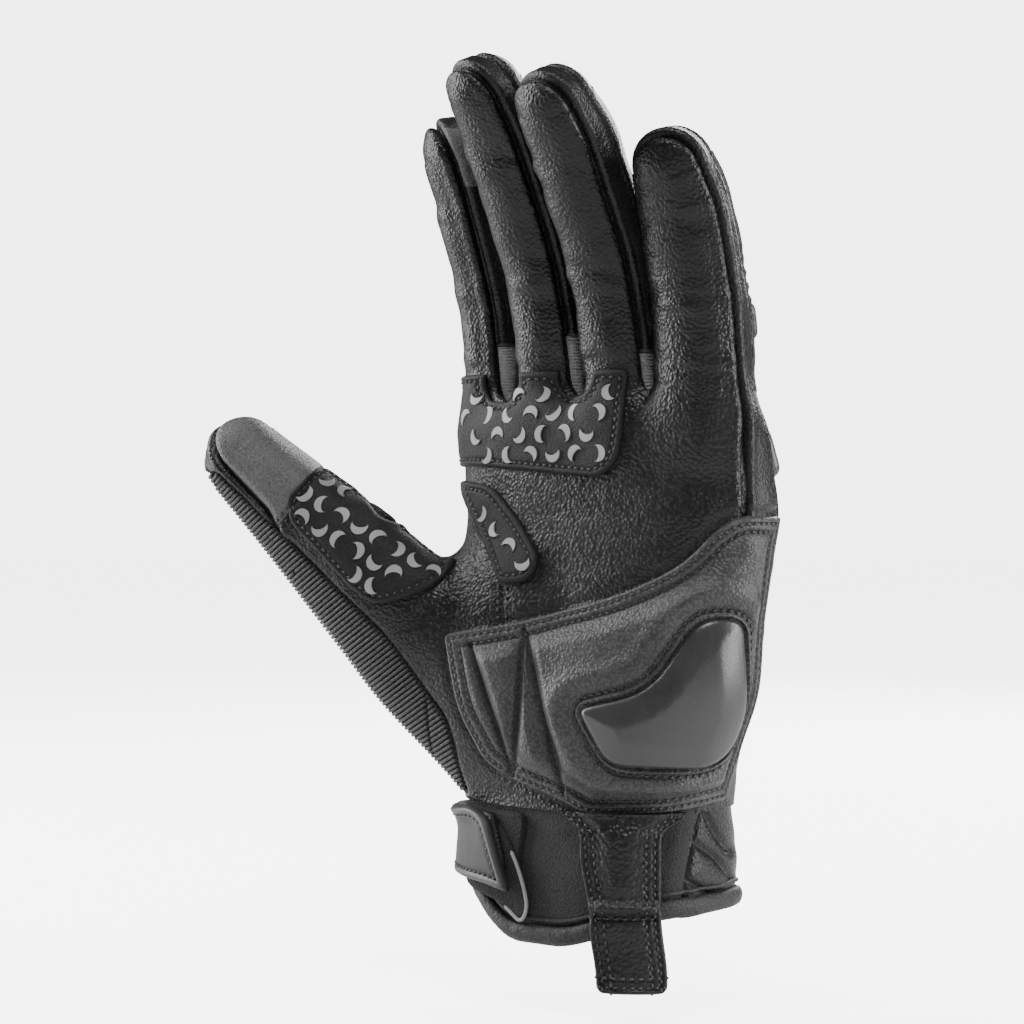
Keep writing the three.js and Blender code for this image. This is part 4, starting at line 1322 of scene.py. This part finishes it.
fingers = {}
for name, tube in tubes.items():
    low, high = tube.centre.min(0) - 17, tube.centre.max(0) + 17
    mesh = surface(finger_field(name), np.maximum(low, (-200, -200, 126)), high)
    mesh = mesh.cut(mesh["rest"][:, 2] - WEB_HEIGHT)
    for other, neighbour in tubes.items():
        if other != name:
            mesh = mesh.cut(neighbour.distance(mesh["rest"]) - tube.distance(mesh["rest"]))
    mesh = with_layers(mesh)
    joint, along = tube.joint(2)
    offset = (mesh["rest"] - joint) @ along
    on_back = smoothstep(0, 3, -mesh["behind"])
    creases = 0.5 * bell(offset, 7) * on_back * np.cos(offset * 2 * math.pi / 3.4)
    palm_folds = smoothstep(0, 3, mesh["front"]) * (
        sum(bell((mesh["rest"] - tube.joint(i)[0]) @ tube.joint(i)[1], 4.5) for i in (1, 2, 3)))
    creases += 0.35 * palm_folds * noise(mesh["rest"] * (0.35, 0.35, 1.6), 3.5, 21)
    fingers[name] = raised(mesh, mesh["height"] + creases)


for number, (name, mesh) in enumerate(fingers.items()):
    wall = mesh.cut(-mesh["front"])
    if name in GUSSETS:
        side, back = tubes[name].beside(wall["rest"])
        level = np.min([wall.inside(GUSSETS[name]), side, 1.0 - back], axis=0)
        pale = wall.cut(level)
        wall = wall.cut(-level)
        pale = raised(pale, pale["height"] * 0.3 - 0.5)
        gusset = f"gusset_{name}_{FINGER_NAMES[number + 1]}"
        sew(gusset, pale, GUSSET, cell=f"{name}_base", replaces=(gusset,))
        bits = Bits()
        for z in WEB_HEIGHT + 0.5 + GUSSET_RIB_PITCH * np.arange(GUSSET_RIBS):
            bits.cords(pale.trace(pale["rest"][:, 2], z), 0.36, spacing=0.8, sides=6)
        bits.place(f"{gusset}_ribs", GUSSET, cell=f"{name}_base")
        rim = wall.trace(wall.inside(GUSSETS[name]), -0.5)
        mouth = Bits().cords(kept(rim, lambda p, name=name: tubes[name].beside(p)[1] < -1), 0.5, lift=0.1)
        mouth.place(f"{gusset}_piping", BINDING, cell=f"{name}_base")
    if name == "index":
        side, back = tubes[name].beside(wall["rest"])
        z = wall["rest"][:, 2]
        edges = (z - TOUCH_LOW, TOUCH_HIGH - z, side - 1, 5 - back, -0.8 - wall["front"])
        level = np.min(edges, axis=0)
        touch = wall.cut(level)
        wall = wall.cut(-level)
        touch = raised(touch, touch["height"] + 0.25)
        sew("index_touch_panel", touch, TOUCH, cell="index_tip")
    for side_name, panel, material in (
        ("front", mesh.cut(mesh["front"]), PALM_LEATHER), ("back", wall, BACK_LEATHER),
    ):
        for cell, part in finger_cells(name, panel).items():
            sewn = f"{cell}_{side_name}"
            sew(sewn, part, material, cell=cell, replaces=(sewn,))
    if name != "little":
        make_patch(mesh, patch_level, {f"{name}_base": (f"{name}_grip_tongue", ())},
                   lambda m, name=name: finger_cells(name, m), limit=lambda m: m["front"] - 0.6)

# Raised pads on the backs of the fingers.
for name, mesh in fingers.items():
    tube = tubes[name]
    base = tube.joint(1)[0]
    direction = unit(tube.joint(2)[0] - base)
    length = FINGERS[name]["lengths"][0]
    near_end, far_end = 0.22 * length, 0.8 * length
    outline = [
        (-ARMOUR_HALF, near_end, 3), (-ARMOUR_HALF, far_end, 3), (ARMOUR_HALF, far_end, 3),
        (ARMOUR_HALF, near_end, 3),
    ]

    def armour_depth(m):
        side, back = tube.beside(m["rest"])
        return np.minimum(depth_in(outline, side, (m["rest"] - base) @ direction), back - 2)

    pad = refined(mesh.cut(armour_depth(mesh)), lambda m, reach: armour_depth(m) < reach, (4.0, 2.5))
    depth = armour_depth(pad)
    ridge = 0.35 * np.cos((pad["rest"] - base) @ direction * 2 * math.pi / (0.19 * length))
    ridge *= smoothstep(1.8, 2.6, depth)
    pad = raised(pad, edge_round(depth, 0.6, 2.4, 1.3) + ridge)
    armour = f"{name}_armour"
    sew(armour, pad, RUBBER, body=f"{name}_base", inner=-0.4, replaces=(armour,), fill=0.9)

# Knuckle guard on the back of the hand.
GUARD_OUTLINE = [  # x, z and corner radius
    (-36, 113, 4), (-34, 127, 5), (-10, 130.5, 6), (14, 130.5, 6), (42, 127, 5), (45, 113, 4), (4, 110.5, 20),
]


def guard_depth(mesh):
    points = mesh["rest"]
    return np.minimum(depth_in(GUARD_OUTLINE, points[:, 0], points[:, 2]), points[:, 1] - 3)


guard = hand.cut(np.minimum(guard_depth(hand), WEB_HEIGHT - 0.5 - hand["rest"][:, 2]))
guard = refined(guard, lambda m, reach: guard_depth(m) < reach, (3, 2))
depth = guard_depth(guard)
x, _, z = guard["rest"].T
knuckles = [finger["knuckle"][0] for finger in FINGERS.values()]
domes = sum(bell(np.hypot((x - knuckle * 0.94) * 1.1, z - 121), 7.5) for knuckle in knuckles)
height = edge_round(depth, 1.0, 3.2, 1.4) + 2.4 * np.minimum(domes, 1) * smoothstep(1.5, 4, depth)
height -= 0.5 * bell(depth - 2.6, 0.5)
guard = raised(guard, height)
sew("knuckle_guard", guard, SLIDER, body="knuckles", inner=0.0, replaces=("knuckle_guard", "knuckle_foam"))


# ---------------------------------------------------------------- printed crescents on the grip patches
CRESCENT_STEPS = 12
CRESCENT_RADIUS = 2.1
CRESCENT_ROOM = 2.7  # least distance from its middle to the patch's edge
CRESCENT_TURN = math.radians(137)  # each is turned this much further than the last
CRESCENT_ARC = math.radians(112)  # half the angle of its outer arc
CRESCENT_LOW, CRESCENT_HIGH = 1.0, 1.62  # the heights of its under and upper face off the plain surface


def crescent_shape():
    """The outer and the inner arc of a crescent, which meet in its points."""
    t = np.linspace(-1, 1, CRESCENT_STEPS)
    angle = t * CRESCENT_ARC
    outer = CRESCENT_RADIUS * np.stack([np.cos(angle), np.sin(angle)], 1)
    inner = outer * (1, 0.94) - np.stack([CRESCENT_RADIUS * 0.85 * (1 - t**2) ** 0.8, 0 * t], 1)
    return outer, inner


def crescent_faces():
    """Triangles of a crescent whose corners are its outer and inner arc above, then both below."""
    count = CRESCENT_STEPS
    under = 2 * count
    faces = []
    for a in range(count - 1):
        b, c, d = a + 1, count + a, count + a + 1
        faces += [(a, b, c), (b, d, c), (a + under, c + under, b + under), (b + under, c + under, d + under)]
        faces += [(b, a, a + under), (b, a + under, b + under), (c, d, c + under), (d, d + under, c + under)]
    last = count - 1
    faces += [(0, count, under), (count, count + under, under)]
    faces += [(count + last, last, count + last + under), (last, last + under, count + last + under)]
    return np.array(faces)


def add_crescents(name, places, cell, turns):
    """Plain raised crescents, each turned by its own angle, as one object."""
    bits = Bits()
    outer, inner = crescent_shape()
    faces = crescent_faces()
    normals = unit(slope(hand_distance, places))
    for place, normal, turn in zip(places, normals, turns):
        right = unit(FACE_RIGHT - normal * (FACE_RIGHT @ normal))
        up = np.cross(right, normal)
        c, s = math.cos(turn), math.sin(turn)
        flat = np.concatenate([outer, inner]) @ np.array([[c, s], [-s, c]])
        spread = settle(hand_distance, place + flat[:, :1] * right + flat[:, 1:] * up, 2)
        out = unit(slope(hand_distance, spread))
        bits.add(np.concatenate([spread + out * CRESCENT_HIGH, spread + out * CRESCENT_LOW]), faces)
    bits.place(name, PRINT, flat=True, cell=cell)


def motif_grid(outline, pitch, rise, tilt):
    """Staggered (u, z) places inside an outline with room for a crescent."""
    corners = np.array([c[:2] for c in outline], float)
    middle = corners.mean(0)
    spots = []
    for row in range(-12, 13):
        for column in range(-14, 15):
            x, y = (column + 0.5 * (row % 2)) * pitch, row * rise
            spots.append((x * math.cos(tilt) - y * math.sin(tilt), x * math.sin(tilt) + y * math.cos(tilt)))
    spots = np.array(spots) + middle
    return spots[depth_in(outline, spots[:, 0], spots[:, 1]) > CRESCENT_ROOM]


def place_motifs(name, outline, pitch, rise, tilt, cell_of, back_limit=None):
    spots = motif_grid(outline, pitch, rise, tilt)
    for slit in SLITS:
        spots = spots[depth_in(slit, spots[:, 0], spots[:, 1]) < -2.6]
    points = settle(hand_distance, drop(hand_distance, spots[:, 0], spots[:, 1]), 2)
    front, _ = seam_fields(points)
    miss = np.hypot(points @ FACE_RIGHT - spots[:, 0], points[:, 2] - spots[:, 1])
    keep = (front > 2.4) & (miss < 0.6)
    if back_limit is not None:
        keep &= thumb.beside(points)[1] < back_limit
    points, spots = points[keep], spots[keep]
    turns = np.arange(len(points)) * CRESCENT_TURN + 0.6
    cells = np.array([cell_of(p) for p in points])
    for cell in sorted(set(cells)):
        chosen = cells == cell
        add_crescents(f"{name}_{cell}", points[chosen], cell, turns[chosen])


def patch_cell(point):
    if point[2] < WEB_HEIGHT:
        return "hand"
    return FINGER_NAMES[int(finger_distances(point[None])[:, 0].argmin())] + "_base"


def thumb_cell(point):
    if point @ THUMB_SIDE < THUMB_START:
        return "hand"
    return "thumb_base" if (point - THUMB_JOINT) @ THUMB_AXIS < -THUMB_TIP_CUT else "thumb_tip"


place_motifs("finger_print", FINGER_PATCH_OUTLINE, 5.4, 4.9, 0.0, patch_cell)
place_motifs("thumb_print", THUMB_PATCH_OUTLINE, 5.5, 5.0, -0.55, thumb_cell, back_limit=-0.6)
place_motifs("crotch_print", CROTCH_OUTLINE, 5.2, 4.9, -0.9, lambda p: "hand")


# ---------------------------------------------------------------- wrist strap and pull strap
ARC = 0.55  # millimetres round the wrist for one degree


def wrist_degrees(points):
    return np.degrees(np.arctan2(points[:, 1], points[:, 0] - 1)) % 360


def wrist_coordinates(mesh):
    return wrist_degrees(mesh["rest"]) * ARC, mesh["rest"][:, 2]


def strap_piece(name, corners, heights, reach, material, body, wave=0.0, fill=None, line=None):
    """A piece of the wrist strap, `heights` off the skin; its outline is in degrees round the wrist and z."""
    outline = [(degrees * ARC, z, radius) for degrees, z, radius in corners]
    low, high = heights
    part = hand.cut(40 - hand["rest"][:, 2])
    part = part.cut(depth_in(outline, *wrist_coordinates(part)))
    part = refined(part, lambda m, near: depth_in(outline, *wrist_coordinates(m)) < near, (2.2, 1.3))
    depth = depth_in(outline, *wrist_coordinates(part))
    height = edge_round(depth, low + 0.3 * (high - low), high, reach) + wave * noise(part["rest"], 6, 31)
    if line:
        height -= 0.3 * bell(depth - line, 0.45)
    part = raised(part, height)
    sew(name, part, material, body=body, inner=low, replaces=(name,), fill=fill)
    if line:
        stitch(f"{name}_stitches", part.trace(depth, line), body=body)
    return part, depth


KEEPER_OUTLINE = [(59, 17, 3), (59, 33, 3), (141, 33, 3), (141, 17, 3)]
BAND_OUTLINE = [(60, 13.5, 2), (60, 32, 2), (145, 32, 1), (145, 13.5, 1)]
LOOP_OUTLINE = [(145, 16, 2), (145, 32, 2), (258, 31, 3), (254, 12, 3)]
TAIL_OUTLINE = [(146.5, 13.5, 1), (146.5, 32, 1), (238, 31, 3), (250, 18, 4), (248, 14, 3)]
HOOK_OUTLINE = [
    (168, 15, 2), (168, 30, 2), (243, 28, 4), (252, 22.5, 4), (260, 16.5, 4), (266, 8.5, 3), (261, 4, 2.5),
    (247, 9, 5),
]
TAB_OUTLINE = [
    (154, 14.5, 2), (154, 31.5, 2), (226, 33, 2.5), (237, 29.5, 3), (256, 11.8, 2.5), (238, 13.5, 4),
]
strap_piece("strap_keeper_pad", KEEPER_OUTLINE, (-0.4, 1.9), 2.0, NEOPRENE, "hand", fill=0.5)
strap_piece("wrist_strap", BAND_OUTLINE, (2.0, 4.0), 1.2, BACK_LEATHER, "hand", wave=0.15, line=1.8)
strap_piece("strap_loop_panel", LOOP_OUTLINE, (-0.4, 1.1), 0.8, FUZZY, "hand")
strap_piece("strap_tail", TAIL_OUTLINE, (1.9, 3.3), 1.2, BACK_LEATHER, "strap_tail", line=1.6)
hook, hook_depth = strap_piece("strap_hook_pad", HOOK_OUTLINE, (1.15, 1.9), 0.9, FUZZY, "strap_tail")
edge = kept(hook.trace(hook_depth, 0.45), lambda p: (wrist_degrees(p) > 250) & (p[:, 2] < 22))
Bits().cords(edge, 0.48).place("strap_hook_edge", PALE_RUBBER, body="strap_tail")
tab, tab_depth = strap_piece(
    "strap_pull_tab", TAB_OUTLINE, (3.1, 4.8), 1.0, TAB_RUBBER, "strap_tail", line=2.2)
rim = kept(tab.trace(tab_depth, 1.2), lambda p: wrist_degrees(p) > 200)
Bits().cords(rim, 1.0, lift=-0.35, flatten=0.6).place("strap_tab_rim", RIM_RUBBER, body="strap_tail")

PULL_TOP, PULL_LOW, PULL_BAR = 33.0, -9.5, 11.0  # heights of its top, its end and its stitched bar
PULL_ROWS = (1.6, 3.4)  # rows of stitches this far inside its sides


def pull_edges(z):
    flare = smoothstep(26, 33, z) ** 2
    left = -5 + 2.2 * smoothstep(24, 8, z) + 1.6 * smoothstep(6, -8, z)
    return left - 5 * flare, 12.7 + 1.1 * smoothstep(8, -5, z) + 6 * flare


def pull_strap():
    rows, columns = 120, 56
    z = np.linspace(PULL_LOW, PULL_TOP, rows)[:, None] + np.zeros(columns)
    left, right = pull_edges(z)
    share = np.linspace(0, 1, columns)
    corner = 3.0
    inset = corner - np.sqrt(np.clip(corner**2 - np.clip(PULL_LOW + corner - z, 0, corner) ** 2, 0, None))
    u = (left + inset) * (1 - share) + (right - inset) * share
    held = np.maximum(z, 5.0)
    base = drop(palm_distance, u.ravel(), held.ravel())
    out = unit(slope(palm_distance, base)) * (1, 1, 0)
    base[:, 2] = z.ravel()
    side = np.minimum(u - left, right - u).ravel() - inset.ravel() * 0.5
    side = np.minimum(side, (z - PULL_LOW).ravel())
    zz = z.ravel()
    lift = 1.9 - 1.2 * smoothstep(27, 32, zz) + 0.8 * smoothstep(2, -10, zz)
    top = lift + edge_round(np.maximum(side, 0), 0.7, 1.9, 1.0) + 0.25 * noise(base, 8, 41)
    top += 1.5 * bell(zz - PULL_BAR, 1.3) * smoothstep(0, 1.5, side) - 0.7 * bell(zz - PULL_BAR + 2.6, 0.8)
    top -= 0.4 * bell(side - PULL_ROWS[0], 0.4) + 0.4 * bell(side - PULL_ROWS[1], 0.4)
    top += 0.3 * bell(side - 0.7, 0.4) + 0.7 * smoothstep(4, 7, side) * smoothstep(12, 16, zz)
    index = np.arange(rows * columns).reshape(rows, columns)
    corners = (index[:-1, :-1], index[:-1, 1:], index[1:, 1:], index[1:, :-1])
    a, b, c, d = (corner.ravel() for corner in corners)
    mesh = Mesh({"rest": base, "out": out}, np.concatenate([triangles(a, b, c), triangles(a, c, d)]))
    mesh = raised(mesh, top)
    sew("pull_strap", mesh, PULL_LEATHER, cell="pull", inner=lift - 0.1,
        replaces=("pull_strap_root", "pull_strap_end"))
    from_sides = np.minimum((u - left).ravel(), (right - u).ravel())
    heights = (PULL_BAR - 2.6, PULL_LOW + 1.8, PULL_LOW + 4.0)
    lines = [line for level in PULL_ROWS for line in mesh.trace(from_sides, level)]
    lines += [line for level in heights for line in mesh.trace(zz, level)]
    stitch("pull_strap_stitches", lines, cell="pull")


pull_at = FACE_RIGHT * 5 + FACE_OUT * 30
BLENDS["pull"] = ("hand", "pull_strap", pull_at + (0, 0, 14), pull_at + (0, 0, 7))
pull_strap()


# ---------------------------------------------------------------- floor, light and camera
FLOOR_GLOW = 4.6  # lifts the floor towards the white backdrop without lighting the glove
FLOOR_RADIUS, FLOOR_HEIGHT, FLOOR_SIDES = 6000, -17.5, 96
WORLD_LIGHT, WORLD_BACKDROP = 0.06, 6.0  # how bright the world is for the glove and for the camera
LIGHT_AIM = Vector((0, 0, 0.10))
LIGHTS = {  # place and size in metres, power in watts
    "left_rim": ((-0.80, -0.25, 0.42), (0.35, 0.9), 17),
    "right_rim": ((0.90, 0.40, 0.35), (0.35, 0.9), 19),
    "top": ((0.20, -0.40, 1.0), (0.5, 0.3), 10),
    "front": ((0.60, -0.80, 0.10), (0.3, 0.3), 0.8),
    "back": ((-0.25, 0.9, 0.55), (0.5, 0.5), 12),
}
CAMERA_DISTANCE, CAMERA_HEIGHT, CAMERA_ACROSS = 600, 105, -22.379
CAMERA_LENS, CAMERA_SENSOR = 83.7, 36


def add_to_scene(name, data):
    made = bpy.data.objects.new(name, data)
    bpy.context.scene.collection.objects.link(made)
    return made


def area_light(name, place, size, power):
    lamp = bpy.data.lights.new(name, "AREA")
    lamp.shape = "RECTANGLE"
    lamp.size, lamp.size_y = size
    lamp.energy = power
    holder = add_to_scene(name, lamp)
    holder.location = place
    holder.rotation_euler = (LIGHT_AIM - Vector(place)).to_track_quat("-Z", "Y").to_euler()


def make_floor():
    angle = np.arange(FLOOR_SIDES) * 2 * math.pi / FLOOR_SIDES
    points = [(FLOOR_RADIUS * math.cos(a), FLOOR_RADIUS * math.sin(a), FLOOR_HEIGHT) for a in angle]
    points = np.array(points + [(0, 0, FLOOR_HEIGHT)])
    faces = np.array([(i, (i + 1) % FLOOR_SIDES, FLOOR_SIDES) for i in range(FLOOR_SIDES)])
    look = Look("Floor", "palm_leather")
    look.colour(look.noise(3), (0.86, 0.86, 0.86), (0.88, 0.88, 0.88))
    look.set(Roughness=0.9, Emission_Color=(1, 1, 1, 1))
    seen = look.math("MULTIPLY", look.add("ShaderNodeLightPath").outputs["Is Camera Ray"], FLOOR_GLOW)
    look.links.new(seen, look.shader.inputs["Emission Strength"])
    floor = make_object("floor", points, faces, look.material)


def make_world():
    """A dim even light, and a bright backdrop that only the camera sees."""
    world = bpy.data.worlds.new("Studio")
    bpy.context.scene.world = world
    world.use_nodes = True
    nodes, links = world.node_tree.nodes, world.node_tree.links
    lighting = nodes["Background"]
    lighting.inputs["Color"].default_value = (1, 1, 1, 1)
    lighting.inputs["Strength"].default_value = WORLD_LIGHT
    backdrop = nodes.new("ShaderNodeBackground")
    backdrop.inputs["Strength"].default_value = WORLD_BACKDROP
    chosen = nodes.new("ShaderNodeMixShader")
    seen = nodes.new("ShaderNodeLightPath").outputs["Is Camera Ray"]
    for source, socket in zip((seen, lighting.outputs[0], backdrop.outputs[0]), chosen.inputs):
        links.new(source, socket)
    links.new(chosen.outputs[0], nodes["World Output"].inputs["Surface"])


make_floor()
make_world()
for name, (place, size, power) in LIGHTS.items():
    area_light(name, place, size, power)
camera_data = bpy.data.cameras.new("camera")
camera_data.lens, camera_data.sensor_width = CAMERA_LENS, CAMERA_SENSOR
camera = add_to_scene("camera", camera_data)
spot = CAMERA_ACROSS * FACE_RIGHT + CAMERA_DISTANCE * FACE_OUT + (0, 0, CAMERA_HEIGHT)
camera.location = tuple(spot * MM)
camera.rotation_euler = (math.pi / 2, 0, FACE_TURN)
bpy.context.scene.camera = camera
